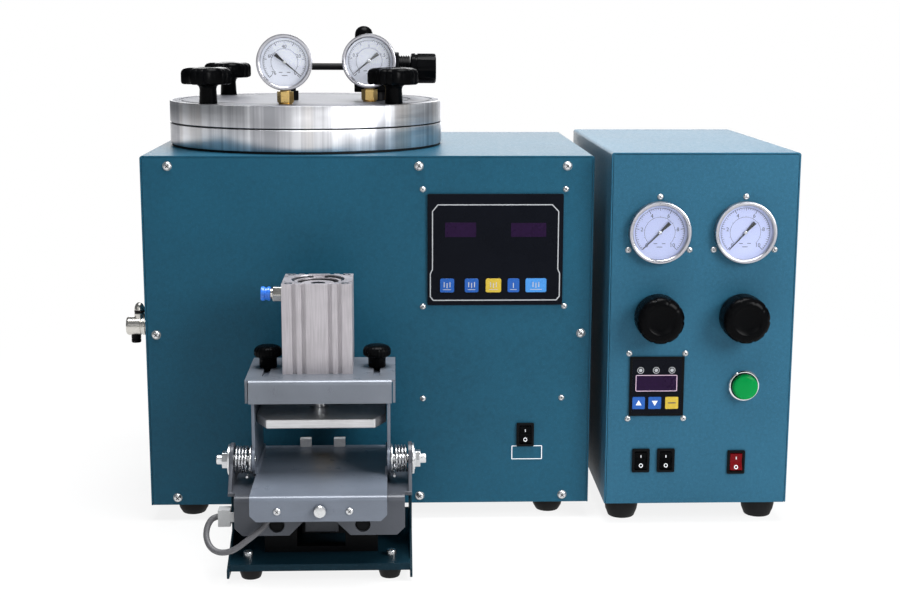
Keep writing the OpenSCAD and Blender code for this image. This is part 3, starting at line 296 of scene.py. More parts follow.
def clear_lens(name):
    """Thin gauge glass: mostly see-through, glossy at a slant."""
    f = Finish(name, (0.9, 0.93, 0.95), 0.04, 1.0)
    f.set(Roughness=f.span(f.noise(60.0, 3.0), 0.35, 0.7, 0.02, 0.09))
    slant = f.node("Fresnel", {}, {"IOR": 1.5})
    f.blend_in(slant * 0.6, f.node("BsdfTransparent"), f.surface)
    return f.mat


def bench_top(name):
    """White bench that stays white to the camera and still takes soft shadows."""
    f = Finish(name, (0.86, 0.865, 0.87), 0.7).worn(40.0, 0.01, 0.0)
    camera = f.node("LightPath", out="Is Camera Ray")
    seen = camera.larger(camera.part("Is Glossy Ray").larger(camera.part("Is Transmission Ray")))
    away = f.node("VectorMath", {"operation": "LENGTH"}, {0: f.where()}, out=1)
    f.blend_in(seen * f.span(away, 0.3, 1.0, 0.86, 1.0), f.surface, f.node("Emission"))
    return f.mat


TEAL = powder_coat("teal_cabinet_coat", (0.0074, 0.061, 0.103))
# the cabinet's teal made lighter for the control box: painted light for the stronger light on the box
TEAL_LIT = powder_coat("teal_coat_lit", (0.0145, 0.079, 0.132), 0.15)
# the teal made very dark for the cabinet's base and the clamp's base: painted shade, for they sit low in
# shadow
TEAL_SHADED = powder_coat("teal_coat_shaded", (0.0035, 0.017, 0.027), 0.07)
SILVER = silver_coat("silver_tray_paint", (0.128, 0.147, 0.182), 0.14, 0.3)
# the silver paint made darker for the carriage: painted shade under the tray
SILVER_SHADED = silver_coat("silver_paint_shaded", (0.058, 0.063, 0.075), 0.1, 0.3, 0.25)
SILVER_PALE = silver_coat("silver_bracket_paint", (0.138, 0.153, 0.18), 0.25, 0.3)
STEEL = turned_steel("turned_pot_steel")
EXTRUDED = drawn_metal("extruded_aluminium", (0.46, 0.435, 0.46), 0.44, 0.7)
MILLED = drawn_metal("milled_aluminium", (0.62, 0.62, 0.63), 0.36, 0.9, (0.05, 1.0, 1.0))
ZINC = metal("bright_zinc", (0.66, 0.67, 0.68), 0.28, 500.0, 0.16)
SPRING_STEEL = drawn_metal("spring_steel", (0.62, 0.63, 0.65), 0.25, 1.0, (1.0, 0.3, 0.3), 700.0)
BEZEL = metal("brushed_bezel_steel", (0.5, 0.5, 0.54), 0.3, 400.0, 0.08, 0.05)
STOP_BLOCK = plain("milled_stop_blocks", (0.8, 0.8, 0.82), 0.45, 700.0, 0.1, metal=0.1)
CHROME = metal("polished_chrome", (0.78, 0.79, 0.81), 0.12, 300.0, 0.05, 0.03)
# dark anodised finish for the clip and cover screws; also painted shade on the slide cylinder and in screw
# recesses
ANODISED_AND_SHADE = plain("dark_anodised_and_painted_shade", (0.035, 0.036, 0.04), 0.3, 900.0, 0.25, metal=0.7)
BRASS = metal("turned_brass", (0.60, 0.42, 0.16), 0.3, 700.0, 0.18)
NICKEL = metal("nickel_plate", (0.62, 0.60, 0.56), 0.26, 600.0, 0.14)
RUBBER = plain("black_rubber", (0.004, 0.004, 0.0045), 0.6, 1400.0, 0.3, 0.25, gloss=0.2)
PLASTIC = plain("black_moulded_plastic", (0.0014, 0.0015, 0.0018), 0.26, 1500.0, 0.25, gloss=0.035)
# black satin plastic for many small parts; also painted shade on the guide rods
SATIN_AND_SHADE = plain("black_satin_plastic_and_shade", (0.003, 0.0033, 0.004), 0.4, 1800.0, 0.25, 0.2, gloss=0.06)
FILM = plain("dark_panel_film", (0.0022, 0.0029, 0.0055), 0.3, 1600.0, 0.2, 0.06, 0.02, gloss=0.06)
WINDOW = plain("display_window", (0.011, 0.0025, 0.021), 0.3, 500.0, 0.2, 0.02, 0.02, gloss=0.1)
KEY_BLUE = plain("blue_key_film", (0.012, 0.075, 0.3), 0.28, 900.0, 0.12, gloss=0.2)
KEY_PALE = plain("light_blue_key_film", (0.045, 0.2, 0.5), 0.28, 900.0, 0.12, gloss=0.2)
KEY_YELLOW = plain("yellow_key_film", (0.45, 0.32, 0.036), 0.28, 900.0, 0.1, gloss=0.2)
INK_WHITE = plain("white_print", (0.72, 0.74, 0.77), 0.5, 1500.0, 0.06)
INK_GREY = plain("grey_print", (0.34, 0.35, 0.37), 0.5, 1500.0, 0.08)
INK_LILAC = plain("lilac_print", (0.58, 0.42, 0.55), 0.5, 1500.0, 0.08)
INK_BLACK = plain("dial_print", (0.02, 0.024, 0.05), 0.55, 1500.0, 0.1)
DIAL = plain("white_dial_card", (0.86, 0.89, 1.0), 0.5, 700.0, 0.02)
DIAL_BOX = plain("pale_dial_card", (0.48, 0.53, 0.78), 0.5, 700.0, 0.03)
POINTER = plain("pointer_paint", (0.004, 0.004, 0.005), 0.4, 1200.0, 0.2)
LENS = clear_lens("gauge_glass")
GREEN = plain("green_cap_plastic", (0.0006, 0.185, 0.038), 0.3, 900.0, 0.05, 0.03, 0.02, gloss=0.06)
RED = plain("red_rocker_plastic", (0.11, 0.003, 0.0048), 0.25, 900.0, 0.1, gloss=0.06)
COLLAR = plain("blue_release_collar", (0.03, 0.17, 0.68), 0.3, 900.0, 0.1)
BOARD = plain("solder_mask", (0.012, 0.12, 0.045), 0.4, 260.0, 0.3, 0.2)
HEATER = drawn_metal("tinted_heater_band", (0.36, 0.31, 0.25), 0.35, 1.0, (0.05, 0.05, 1.0), 500.0, 0.25)
ENAMEL = plain("grey_pump_enamel", (0.07, 0.08, 0.09), 0.4, 500.0, 0.15, 0.2, metal=0.2)
JACKET = plain("cable_jacket", (0.075, 0.075, 0.082), 0.5, 1200.0, 0.2, 0.15)
GREY_PLASTIC = plain("grey_connector_plastic", (0.36, 0.365, 0.37), 0.45, 1000.0, 0.1)


# -------- shapes
PRINT_DEPTH = 0.04     # mm
SOFTEN_FROM = 28       # degrees at which an edge is rounded
WELD = 2e-6            # metres within which points are one
FLAT_WITHIN = 0.8      # degrees between faces that become one
ORDER = {"x": (1, 2, 0), "y": (0, 2, 1), "z": (0, 1, 2)}
ALONG = {"x": lambda u, v, h: mm(h, u, v), "y": lambda u, v, h: mm(u, h, v), "z": lambda u, v, h: mm(u, v, h)}


def new():
    return bmesh.new()


def polar(u, v, r, angle):
    return u + r * cos(angle), v + r * sin(angle)


def rotated(points, x, z, angle):
    """Outline turned by an angle and moved to x, z."""
    c, s = cos(angle), sin(angle)
    return [(x + u * c - v * s, z + u * s + v * c) for u, v in points]


def turned(bm, profile, centre, axis="y", sides=64, ring=False, way=1, carve=None):
    """Turns a profile of (radius, distance) in mm about an axis through centre.

    A ring's profile is closed. With carve, which gives the radius at each angle from the radius
    and a third value in the profile, both ends are closed flat.
    """
    put = ALONG[axis]
    u, v, along = (centre[i] for i in ORDER[axis])
    angles = [2 * pi * k / sides for k in range(sides)]
    loops = []
    for radius, distance, *depth in profile:
        loop = []
        for a in angles if radius else angles[:1]:
            r = carve(a, radius, *depth) if carve else radius
            loop.append(bm.verts.new(put(*polar(u, v, r, a), along + way * distance)))
        loops.append(loop)
    for low, high in list(zip(loops, loops[1:])) + ([(loops[-1], loops[0])] if ring else []):
        for k in range(sides):
            q = (k + 1) % sides
            if len(low) == 1:
                bm.faces.new((low[0], high[k], high[q]))
            elif len(high) == 1:
                bm.faces.new((low[k], low[q], high[0]))
            else:
                bm.faces.new((low[k], low[q], high[q], high[k]))
    if carve:
        bm.faces.new(loops[0])
        bm.faces.new(loops[-1])
    return bm


def prism(bm, outline, low, high, axis="y"):
    """Pushes a closed outline in mm along an axis: (x, z) for y, (x, y) for z, (y, z) for x."""
    a, b = ([bm.verts.new(ALONG[axis](u, v, h)) for u, v in outline] for h in (low, high))
    bm.faces.new(a)
    bm.faces.new(list(reversed(b)))
    for k in range(len(a)):
        q = (k + 1) % len(a)
        bm.faces.new((a[k], b[k], b[q], a[q]))
    return bm


def band(bm, outer, inner, low, high):
    """Upright ring-shaped plate between two outlines with the same number of points."""
    loops = [[bm.verts.new(mm(u, h, v)) for u, v in line]
             for line, h in ((outer, low), (outer, high), (inner, high), (inner, low))]
    for k in range(4):
        a, b = loops[k], loops[(k + 1) % 4]
        for i in range(len(a)):
            j = (i + 1) % len(a)
            bm.faces.new((a[i], a[j], b[j], b[i]))
    return bm


def rounded(x0, z0, x1, z1, r, steps=5):
    """Outline of a rectangle with round corners."""
    points = []
    corners = (x1 - r, z1 - r, 0), (x0 + r, z1 - r, 90), (x0 + r, z0 + r, 180), (x1 - r, z0 + r, 270)
    for cx, cz, start in corners:
        for k in range(steps + 1):
            points.append(polar(cx, cz, r, radians(start + 90 * k / steps)))
    return points


def circle(x, z, r, sides=32):
    return [polar(x, z, r, 2 * pi * k / sides) for k in range(sides)]


def inset(points, d):
    """Outline moved inwards by d, for one that runs anticlockwise."""
    moved = []
    n = len(points)
    for k in range(n):
        (ax, az), (bx, bz), (cx, cz) = points[k - 1], points[k], points[(k + 1) % n]
        ux, uz = bx - ax, bz - az
        vx, vz = cx - bx, cz - bz
        lu, lv = hypot(ux, uz), hypot(vx, vz)
        nx, nz = -uz / lu - vz / lv, ux / lu + vx / lv
        size = nx * nx + nz * nz
        moved.append((bx + 2 * d * nx / size, bz + 2 * d * nz / size))
    return moved


def stroke(bm, x, z, length, width, angle, low, high):
    """Thin printed line on a front face, centred at x, z."""
    u, v = length / 2, width / 2
    return prism(bm, rotated([(-u, -v), (u, -v), (u, v), (-u, v)], x, z, angle), low, high)


def cross(bm, x, z, length, width, low, high):
    """Cross slot of a screw."""
    for turn in (pi / 4, 3 * pi / 4):
        stroke(bm, x, z, length, width, turn, low, high)


def placed(name, data):
    made = bpy.data.objects.new(name, data)
    scene.collection.objects.link(made)
    return made


def tube(name, route, radius, steps, finish):
    """Round bar or cord along points in the shared frame, in metres."""
    line = bpy.data.curves.new(name, "CURVE")
    line.dimensions = "3D"
    line.bevel_depth, line.bevel_resolution = radius, steps
    line.use_fill_caps = True
    spline = line.splines.new("POLY")
    spline.points.add(len(route) - 1)
    for point, place in zip(spline.points, route):
        point.co = (*place, 1.0)
    line.materials.append(finish)
    return placed(name, line)


def figures(bm, words, x, z, size, y):
    """Small printed numbers or switch marks that face the front."""
    line = bpy.data.curves.new("figures", "FONT")
    line.body, line.size, line.extrude = words, size / 1000, PRINT_DEPTH / 1000
    line.align_x, line.align_y = "CENTER", "CENTER"
    line.resolution_u = 3
    holder = placed("figures", line)
    bpy.context.view_layer.update()
    mesh = bpy.data.meshes.new_from_object(holder.evaluated_get(bpy.context.evaluated_depsgraph_get()))
    mesh.transform(Matrix.Translation(mm(x, y, z)) @ Matrix.Rotation(pi / 2, 4, "X"))
    bm.from_mesh(mesh)
    bpy.data.objects.remove(holder)
    bpy.data.curves.remove(line)
    bpy.data.meshes.remove(mesh)


def piece(name, bm, body, finish, slot, soften=0.0, stands_for=(), steps=2, smooth=35, outward=True):
    """Makes an object of the mesh, rounds its edges and lets it ride on a body."""
    if outward:
        bmesh.ops.recalc_face_normals(bm, faces=bm.faces)
    mesh = bpy.data.meshes.new(name)
    bm.to_mesh(mesh)
    bm.free()
    for face in mesh.polygons:
        face.use_smooth = True
    mesh.set_sharp_from_angle(angle=radians(smooth))
    made = placed(name, mesh)
    mesh.materials.append(finish)
    if soften:
        edge = made.modifiers.new("round_edges", "BEVEL")
        edge.width, edge.segments = soften / 1000, steps
        edge.limit_method, edge.angle_limit = "ANGLE", radians(SOFTEN_FROM)
        edge.harden_normals = True
    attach(made, body)
    if stands_for:
        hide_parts(*stands_for)


SLOT_OF = {s["node"]: s["material_slot"] for s in frame["record"]["subparts"]}


def softened(node, finish, width, steps=2):
    """The node's own shape with its sharp edges rounded."""
    bm = new()
    bm.from_mesh(frame["nodes"][node].data)
    bmesh.ops.remove_doubles(bm, verts=bm.verts, dist=WELD)
    bmesh.ops.dissolve_limit(bm, angle_limit=radians(FLAT_WITHIN), verts=bm.verts, edges=bm.edges)
    body = frame["nodes"][node]["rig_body"]
    piece(node + "_finished", bm, body, finish, SLOT_OF[node], width, (node,), steps)


def film(name, finish, soften, slabs, stands_for=()):
    """Flat panel piece made of slabs: (outline, front, back)."""
    bm = new()
    for outline, low, high in slabs:
        prism(bm, outline, low, high)
    piece(name, bm, "machine", finish, "gloss_film", soften, stands_for)


# -------- camera
PHOTO_WIDTH, SENSOR_WIDTH = 900, 36.0    # pixels, mm


def look_from(place, yaw, pitch, roll, focal_px):
    """Camera at a place; its angles are in radians."""
    forward = Vector((sin(yaw) * cos(pitch), cos(yaw) * cos(pitch), -sin(pitch)))
    right = Vector((cos(yaw), -sin(yaw), 0))
    up = right.cross(forward)
    right, up = cos(roll) * right + sin(roll) * up, cos(roll) * up - sin(roll) * right
    lens = bpy.data.cameras.new("photo_camera")
    lens.sensor_width, lens.lens = SENSOR_WIDTH, focal_px / PHOTO_WIDTH * SENSOR_WIDTH
    lens.clip_end = 50
    camera = placed("photo_camera", lens)
    turn = Matrix((right, up, -forward)).transposed().to_4x4()
    camera.matrix_world = Matrix.Translation(place) @ turn
    scene.camera = camera


look_from(mm(24.0, -1303.5, 450.2), yaw=0.037, pitch=0.186, roll=0.003, focal_px=1480.0)


# -------- button cable
def smooth_route(points, steps):
    """Points on one smooth curve through the given ones."""
    ends = [2 * Vector(points[0]) - Vector(points[1])] + [Vector(p) for p in points]
    ends.append(2 * Vector(points[-1]) - Vector(points[-2]))
    route = []
    for k in range(1, len(ends) - 2):
        a, b, c, d = ends[k - 1:k + 3]
        for i in range(steps):
            t = i / steps
            route.append(0.5 * ((2 * b) + (c - a) * t + (2 * a - 5 * b + 4 * c - d) * t * t
                                + (3 * b - a - 3 * c + d) * t ** 3))
    return route + [Vector(points[-1])]


def button_cable():
    route = [mm(*p) for p in smooth_route(CABLE, 3)]
    cable = tube("button_cable_line", route, CABLE_R / 1000, 6, JACKET)
    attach(cable, "carriage")
    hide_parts("button_cable")
    length = sum((b - a).length for a, b in zip(route, route[1:]))
    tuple(route[0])


button_cable()


# -------- small fasteners
def panel_fasteners():
    heads, rings, recess_shades = new(), new(), new()
    edge, high, low = 176.0, CAB_TOP - 9, 22
    big = [(-edge, high), (44.6, high), (edge, high), (-190.5, 174), (190.5, 174), (-edge, low), (45, low),
           (edge, low)]
    small = [(48, 304.5), (175, 304.5), (48, 199), (175, 199), (48, 114), (174, 114)]
    on_box = [(257.1 + i * 25.2, 129.2 + j * 30) for i in (-1, 1) for j in (-1, 1)]
    on_box += [polar(x, BOX_GAUGE_Z, 31.4, radians(a)) for x in COLUMNS for a in (90, 210, 330)]
    for places, y, r in ((big, 0.0, 4.0), (small, 0.0, 2.6), (on_box, BOX_Y0, 2.6)):
        for x, z in places:
            turned(heads, [
                (0, -0.62 * r), (0.5 * r, -0.58 * r), (0.8 * r, -0.42 * r), (0.93 * r, -0.22 * r),
                (0.96 * r, -0.12 * r), (0.96 * r, -0.1)], (x, y, z), "y", 28)
            band(rings, circle(x, z, r, 36), circle(x, z, 0.3 * r, 36), y - 0.01 - 0.1 * r, y - 0.01)
            # dark cross slabs on the heads: painted shade of the recesses
            cross(recess_shades, x, z, r, 0.2 * r, y - 0.635 * r, y - 0.4 * r)
    piece("panel_screw_heads", heads, "machine", ZINC, "zinc_steel", stands_for=("panel_screws",))
    piece("panel_screw_washers", rings, "machine", NICKEL, "zinc_steel")
    piece("panel_screw_recess_shade", recess_shades, "machine", ANODISED_AND_SHADE, "zinc_steel")


# -------- gauges
def gauge(name, body, x, z, front, d, depth, numbers, case_finish, top_angle=225, sweep=-270, stands_for=()):
    """Dial gauge: bezel, case, card with printed scale, glass."""
    r, centre, print_ = d / 2, (x, front, z), new()
    rim = turned(new(), [
        (r - 3.6, 1.6), (r - 3.2, 0.7), (r - 2.5, 0.2), (r - 1.4, 0), (r - 0.5, 0.35), (r, 1.2), (r, 6.2),
        (r - 0.5, 7), (r - 1.2, 7), (r - 1.2, 5.6), (r - 3.6, 5.6)], centre, sides=96, ring=True)
    case = turned(new(), [
        (0, 5.5), (r - 2.6, 5.5), (r - 1.6, 5.9), (r - 1.5, 7), (r - 1.5, depth - 4), (r - 3, depth - 1.2),
        (r - 6, depth), (0, depth)], centre, sides=96)
    card = turned(new(), [
        (0, 5.0), (r - 5.2, 5.0), (r - 3.5, 4.4), (r - 3.5, 5.6), (0, 5.6)], centre, sides=96)
    glass = turned(new(), [
        (0, 0.95), (r * 0.45, 1.05), (r - 3.55, 1.6), (r - 3.55, 2.2), (r * 0.45, 1.8), (0, 1.75)],
        centre, sides=96)
    ink = front + 4.93, front + 5.02    # front and back of the print on the card
    scale_r, divisions, figure_size = r - 6.0, 50, d * 0.088

    def printed(angle, radius, length, width):
        stroke(print_, *polar(x, z, radius, angle), length, width, angle, *ink)

    for k in range(divisions + 1):
        length, width = (3.0, 0.5) if k % 10 == 0 else (2.2, 0.32) if k % 5 == 0 else (1.3, 0.32)
        printed(radians(top_angle + sweep * k / divisions), scale_r - length / 2, length, width)
    arc = [radians(top_angle + sweep * k / 90) for k in range(91)]
    for a, b in zip(arc, arc[1:]):
        for radius, width in ((scale_r + 0.15, 0.32), (scale_r * 0.63, 0.26)):
            prism(print_, [polar(x, z, radius + s * width / 2, t)
                           for s, t in ((1, a), (1, b), (-1, b), (-1, a))], *ink)
    for k in range(11):
        printed(radians(top_angle + sweep * k / 10), scale_r * 0.66, 1.2, 0.2)
    for k, number in enumerate(numbers):
        a = radians(top_angle + sweep * k / (len(numbers) - 1))
        figures(print_, number, x + (scale_r - 5.4) * cos(a), z + (scale_r - 5.2) * sin(a), figure_size,
                front + 4.96)
    # short bars below the hub
    for dx, dz, width in ((-3.6, -0.36, 3.2), (3.6, -0.36, 3.2), (0, -0.47, 5.0)):
        stroke(print_, x + dx, z + dz * r, width, 0.5, 0, *ink)
    piece(name + "_rim", rim, body, BEZEL, "chrome", stands_for=stands_for)
    piece(name + "_case", case, body, case_finish, "chrome")
    piece(name + "_card", card, body, DIAL if case_finish == BEZEL else DIAL_BOX, "chrome")
    piece(name + "_print", print_, body, INK_BLACK, "needle_paint", outward=False)
    piece(name + "_glass", glass, body, LENS, "chrome")


def pointer(node, x, z, front, d, angle):
    """Pointer with a bold tail and a pale turned hub cap."""
    tip, tail = d * 0.38, d * 0.22
    shape = [(-tail, -1.7), (-tail * 0.96, 0), (-tail, 1.7), (-tail * 0.3, 0.85), (0, 0.75), (tip, 0.2),
             (tip, -0.2), (0, -0.75), (-tail * 0.3, -0.85)]
    arm = prism(new(), rotated(shape, x, z, radians(angle)), front + 3.3, front + 3.75)
    turned(arm, [(0, 3.4), (1.1, 3.4), (1.1, 4.2), (0.6, 4.2), (0.6, 6.5), (0, 6.5)], (x, front, z), sides=24)
    piece(node + "_pointer", arm, node, POINTER, "needle_paint", 0.08, (node,), 1)
    hub = turned(new(), [(0, 2.7), (0.7, 2.72), (1.4, 2.95), (1.7, 3.29), (0, 3.29)], (x, front, z), sides=32)
    piece(node + "_hub_cap", hub, node, ZINC, "needle_paint")


# -------- cabinet
def cabinet():
    softened("cabinet_cover", TEAL, 0.5)
    softened("cabinet_front", TEAL, 0.3)
    # base in the darkened teal: painted shade
    softened("cabinet_base", TEAL_SHADED, 0.3)
    panel_fasteners()
    softened("rubber_feet", RUBBER, 0.5)
    softened("vacuum_pump", ENAMEL, 1.2)
    softened("control_board", BOARD, 0.3)
    softened("nozzle_block", BRASS, 0.6)
    softened("nozzle_tip", BRASS, 0.3)
    # outlined plate under the rocker
    outer = rounded(129, 56, 157, 69, 0.6, 3)
    label = band(new(), outer, inset(outer, 0.7), -0.06, 0.0)
    piece("blank_label_frame", label, "machine", INK_WHITE, "teal_paint")


def display():
    """Printed film panel with two windows, five keys and a line frame."""
    x0, z0, x1, z1 = DISPLAY
    film("display_film", FILM, 0.3, [(rounded(x0, z0, x1, z1, 1.2), -2.0, 0.0),
                                     (rounded(x0 + 7, z0 + 7, x1 - 7, z1 - 7, 2), -0.2, 20.0)],
         ("display_panel",))
    edge = [(54.1, 208), (57, 204.4), (167.6, 204.4), (170.7, 208), (170.7, 229), (169, 233), (169, 285),
            (163, 291.2), (61, 291.2), (56, 285), (56, 233), (54.1, 229)]
    line = band(new(), edge, inset(edge, 0.9), -2.09, -1.98)
    piece("display_line", line, "machine", INK_GREY, "gloss_film")
    film("display_windows", WINDOW, 0.06, [(rounded(*corners, 0.8), -2.12, -1.9) for corners in
                                           ((67.6, 262, 95.2, 275), (126.3, 262, 157.7, 274.5))])
    keys = ((63.2, 75.8, KEY_BLUE), (85.3, 97.6, KEY_BLUE), (104, 117.9, KEY_YELLOW),
            (123.6, 134.2, KEY_BLUE), (139.7, 158.5, KEY_PALE))
    for k, (a, b, finish) in enumerate(keys, 1):
        film("display_key_%d" % k, finish, 0.3, [(rounded(a, 212, b, 224.6, 1.6), -2.55, -1.9)])
        mark, middle = new(), (a + b) / 2
        for i in (-1, 0, 1) if k != 4 else (0,):
            stroke(mark, middle + 2.6 * i, 218.3 + 0.8 * (i % 2), 4.6, 0.8, pi / 2, -2.6, -2.5)
        stroke(mark, middle, 214.6, (b - a) * 0.55, 0.5, 0, -2.6, -2.5)
        piece("display_key_mark_%d" % k, mark, "machine", INK_GREY, "gloss_film")


def timer():
    """Small film panel with three lamps, a window and three keys."""
    x0, z0, x1, z1 = TIMER
    y = BOX_Y0
    film("timer_frame", SATIN_AND_SHADE, 0.35, [(rounded(x0, z0, x1, z1, 0.8), y - 2.0, y),
                                      (rounded(x0 + 5, z0 + 5, x1 - 5, z1 - 5, 1), y - 0.2, y + 40)],
         ("timer_panel",))
    film("timer_film", FILM, 0.05, [(rounded(234.9, 104.3, 279, 154.2, 0.8), y - 2.12, y - 1.9)])
    rings = new()
    for x in (242.2, 256.2, 270.4):
        band(rings, circle(x, 144.2, 3.0), circle(x, 144.2, 2.5), y - 2.25, y - 2.1)
        turned(rings, [(0, -2.3), (1.3, -2.25), (1.6, -2.1)], (x, y, 144.2), "y", 24)
    piece("timer_lamps", rings, "machine", INK_GREY, "gloss_film")
    outline = rounded(238, 124.9, 275.3, 139.9, 1.0)
    film("timer_window", WINDOW, 0.05, [(outline, y - 2.2, y - 2.0)])
    line = band(new(), outline, inset(outline, 0.55), y - 2.28, y - 2.15)
    piece("timer_window_line", line, "machine", INK_LILAC, "gloss_film")
    keys = (235.4, 246.7, KEY_BLUE), (249.8, 261.4, KEY_BLUE), (265, 276.8, KEY_YELLOW)
    for k, (a, b, finish) in enumerate(keys, 1):
        film("timer_key_%d" % k, finish, 0.25, [(rounded(a, 108.6, b, 119.8, 1.0), y - 2.6, y - 2.05)])
        mark, middle, level = new(), (a + b) / 2, 114.2
        if k < 3:
            s = 1 if k == 1 else -1
            prism(mark, [(middle - 2.6, level - 2.0 * s), (middle + 2.6, level - 2.0 * s),
                         (middle, level + 2.6 * s)], y - 2.66, y - 2.55)
        else:
            stroke(mark, middle, level, 7.0, 0.9, 0, y - 2.66, y - 2.55)
        piece("timer_key_mark_%d" % k, mark, "machine", INK_WHITE if k < 3 else INK_BLACK, "gloss_film")


def rockers():
    bezels = new()
    for node, x, z, y in ROCKERS:
        outer = rounded(x - 8, z - 11, x + 8, z + 11, 1.2)
        inner = rounded(x - 5.7, z - 8.7, x + 5.7, z + 8.7, 0.6)
        band(bezels, outer, inner, y - 2.0, y)
        outer = rounded(x - 6.7, z - 9.8, x + 6.7, z + 9.8, 0.6)
        band(bezels, outer, inner, y - 0.1, y + 14)
        # two shallow faces that meet in a valley, on a round back
        profile = [(y - 2.1, z + 7.6), (y - 1.4, z + 4), (y - 0.9, z + 0.3), (y - 0.8, z), (y - 1.0, z - 0.6),
                   (y - 1.9, z - 4.4), (y - 3.0, z - 7.0), (y - 2.0, z - 7.6), (y, z - 8.3), (y + 2, z - 8.5),
                   (y + 5, z - 6), (y + 6, z), (y + 5, z + 6), (y + 2, z + 8.5), (y, z + 8.3)]
        paddle = prism(new(), profile, x - 5.5, x + 5.5, "x")
        finish = RED if node == "box_rocker_3" else PLASTIC
        piece(node + "_paddle", paddle, node, finish, SLOT_OF[node], 0.45, (node,), 3)
        marks = stroke(new(), x, z + 4.2, 3.0, 0.6, pi / 2, y - 1.62, y - 1.2)
        ring = band(new(), circle(x, z - 4.4, 1.75, 24), circle(x, z - 4.4, 1.2, 24), y - 0.25, y + 0.1)
        # laid on the slope of the lower face
        for v in ring.verts:
            v.co.y += (v.co.z - (z + 0.6) / 1000) * 0.274 - 0.00087
        joined = bpy.data.meshes.new("ring")
        ring.to_mesh(joined)
        marks.from_mesh(joined)
        piece(node + "_marks", marks, node, INK_WHITE, "black_plastic")
    piece("rocker_bezels", bezels, "machine", SATIN_AND_SHADE, "black_plastic", 0.35, ("switch_bodies",))


def push_button():
    x, z = BUTTON
    centre = (x, BOX_Y0, z)
    ring = turned(new(), [
        (11.9, -0.3), (11.9, -2.2), (12.4, -3.0), (13.1, -3.0), (13.9, -2.4), (14.5, -0.9), (14.5, 0),
        (11.9, 0)], centre, sides=96, ring=True)
    piece("push_button_ring", ring, "machine", CHROME, "chrome")
    barrel = turned(new(), [
        (9.1, 0), (10.9, 0), (10.9, 28), (6, 28), (6, 17), (9.1, 17)], centre, "y", 48, True)
    piece("push_button_barrel", barrel, "machine", SATIN_AND_SHADE, "black_plastic")
    cap = turned(new(), [
        (0, -9.6), (4, -9.55), (8, -9.3), (10.2, -8.8), (11.0, -8.1), (11.3, -7.2), (11.3, -3.6), (9.0, -3.5),
        (9.0, 11), (0, 11)], centre, sides=96)
    piece("push_button_cap", cap, "push_button", GREEN, "green_plastic", stands_for=("push_button",))


def fluted_knob(node, x, z):
    """Round regulator knob with a scalloped rim and a dished front."""
    flutes, cut = 10, 0.7
    profile = [(4.0, 17.0, 0), (4.0, -1.0, 0), (18.4, -1.0, 0), (19.6, -1.5, 0.1), (20.9, -3.0, 0.3),
               (21.0, -5.5, 1.0), (21.0, -19.5, 1.0), (20.5, -22.0, 1.0), (19.0, -24.0, 0.8),
               (16.2, -25.6, 0.35), (13.2, -26.0, 0.1), (12.2, -25.7, 0), (11.4, -25.2, 0), (5.0, -24.9, 0)]
    bm = turned(new(), profile, (x, BOX_Y0, z), "y", 144,
                carve=lambda a, r, depth: r - cut * depth * max(0.0, cos(flutes * a)) ** 6)
    piece(node + "_grip", bm, node, PLASTIC, "black_plastic", stands_for=(node,), smooth=50)


def control_box():
    # box cover and chassis in the lighter teal: painted light
    softened("box_cover", TEAL_LIT, 0.5)
    softened("box_chassis", TEAL_LIT, 0.3)
    softened("box_regulators", ENAMEL, 0.8)
    softened("power_inlets", PLASTIC, 0.5)
    pins = new()
    for x, y, z in INLETS:
        for dx, dz in ((-6.5, -2), (0, 2.5), (6.5, -2)):
            u, v = x + dx, z + dz
            prism(pins, rounded(u - 1.0, v - 2.2, u + 1.0, v + 2.2, 0.4, 2), y - 14, y - 2)
    piece("inlet_pins", pins, "machine", NICKEL, "nickel", 0.2)
    timer()
    rockers()
    push_button()
    for k, (x, angle) in enumerate(zip(COLUMNS, (225, 228)), 1):
        gauge("box_gauge_%d" % k, "machine", x, BOX_GAUGE_Z, BOX_Y0 - 7, 55.0, 30.0,
              ["0", "2", "4", "6", "8", "10"], SATIN_AND_SHADE, stands_for=("box_gauges",))
        pointer("box_needle_%d" % k, x, BOX_GAUGE_Z, BOX_Y0 - 7, 55.0, angle)
        fluted_knob("box_knob_%d" % k, x, BOX_KNOB_Z)


# -------- pot, lid and what stands on it
HEAD_R = 24.0
HOLLOW_AT, HOLLOW_R, CORNER = 29.0, 11.0, 0.7    # the hollows between lobes, in mm


def lobes(a, r, depth):
    """Edge of a star knob: a round disc with five hollows, their corners rounded."""
    t = (a + pi / 5) % (2 * pi / 5) - pi / 5
    hollow = HOLLOW_AT * cos(t) - sqrt(max(0.0, HOLLOW_R ** 2 - (HOLLOW_AT * sin(t)) ** 2))
    edge = -CORNER * log(exp(-HEAD_R / CORNER) + exp(-hollow / CORNER))
    return r * ((1 - depth) + depth * edge / HEAD_R)


def star_knob(node, x, y):
    """Five-lobed clamping knob with a tapered hub, on its screw."""
    bm = turned(new(), [
        (4, -21, 0), (4, -18, 0), (8.0, -16.95, 0), (8.2, -16.4, 0), (7.6, -4, 0), (8.2, -1.6, 0),
        (10.4, 0.1, 0.1), (17.0, 0.25, 0.75), (22.0, 0.5, 1), (23.5, 1.4, 1), (24.0, 3.0, 1), (24.0, 10.2, 1),
        (23.4, 12.4, 1), (21.8, 14.0, 0.97), (19.0, 14.9, 0.85), (14.0, 15.4, 0.4), (9.4, 15.5, 0),
        (8.8, 15.2, 0), (8.5, 14.4, 0)], (x, y, LID_TOP + 17), "z", 180, carve=lobes)
    piece(node + "_grip", bm, node, PLASTIC, "black_plastic", stands_for=(node,), smooth=40)


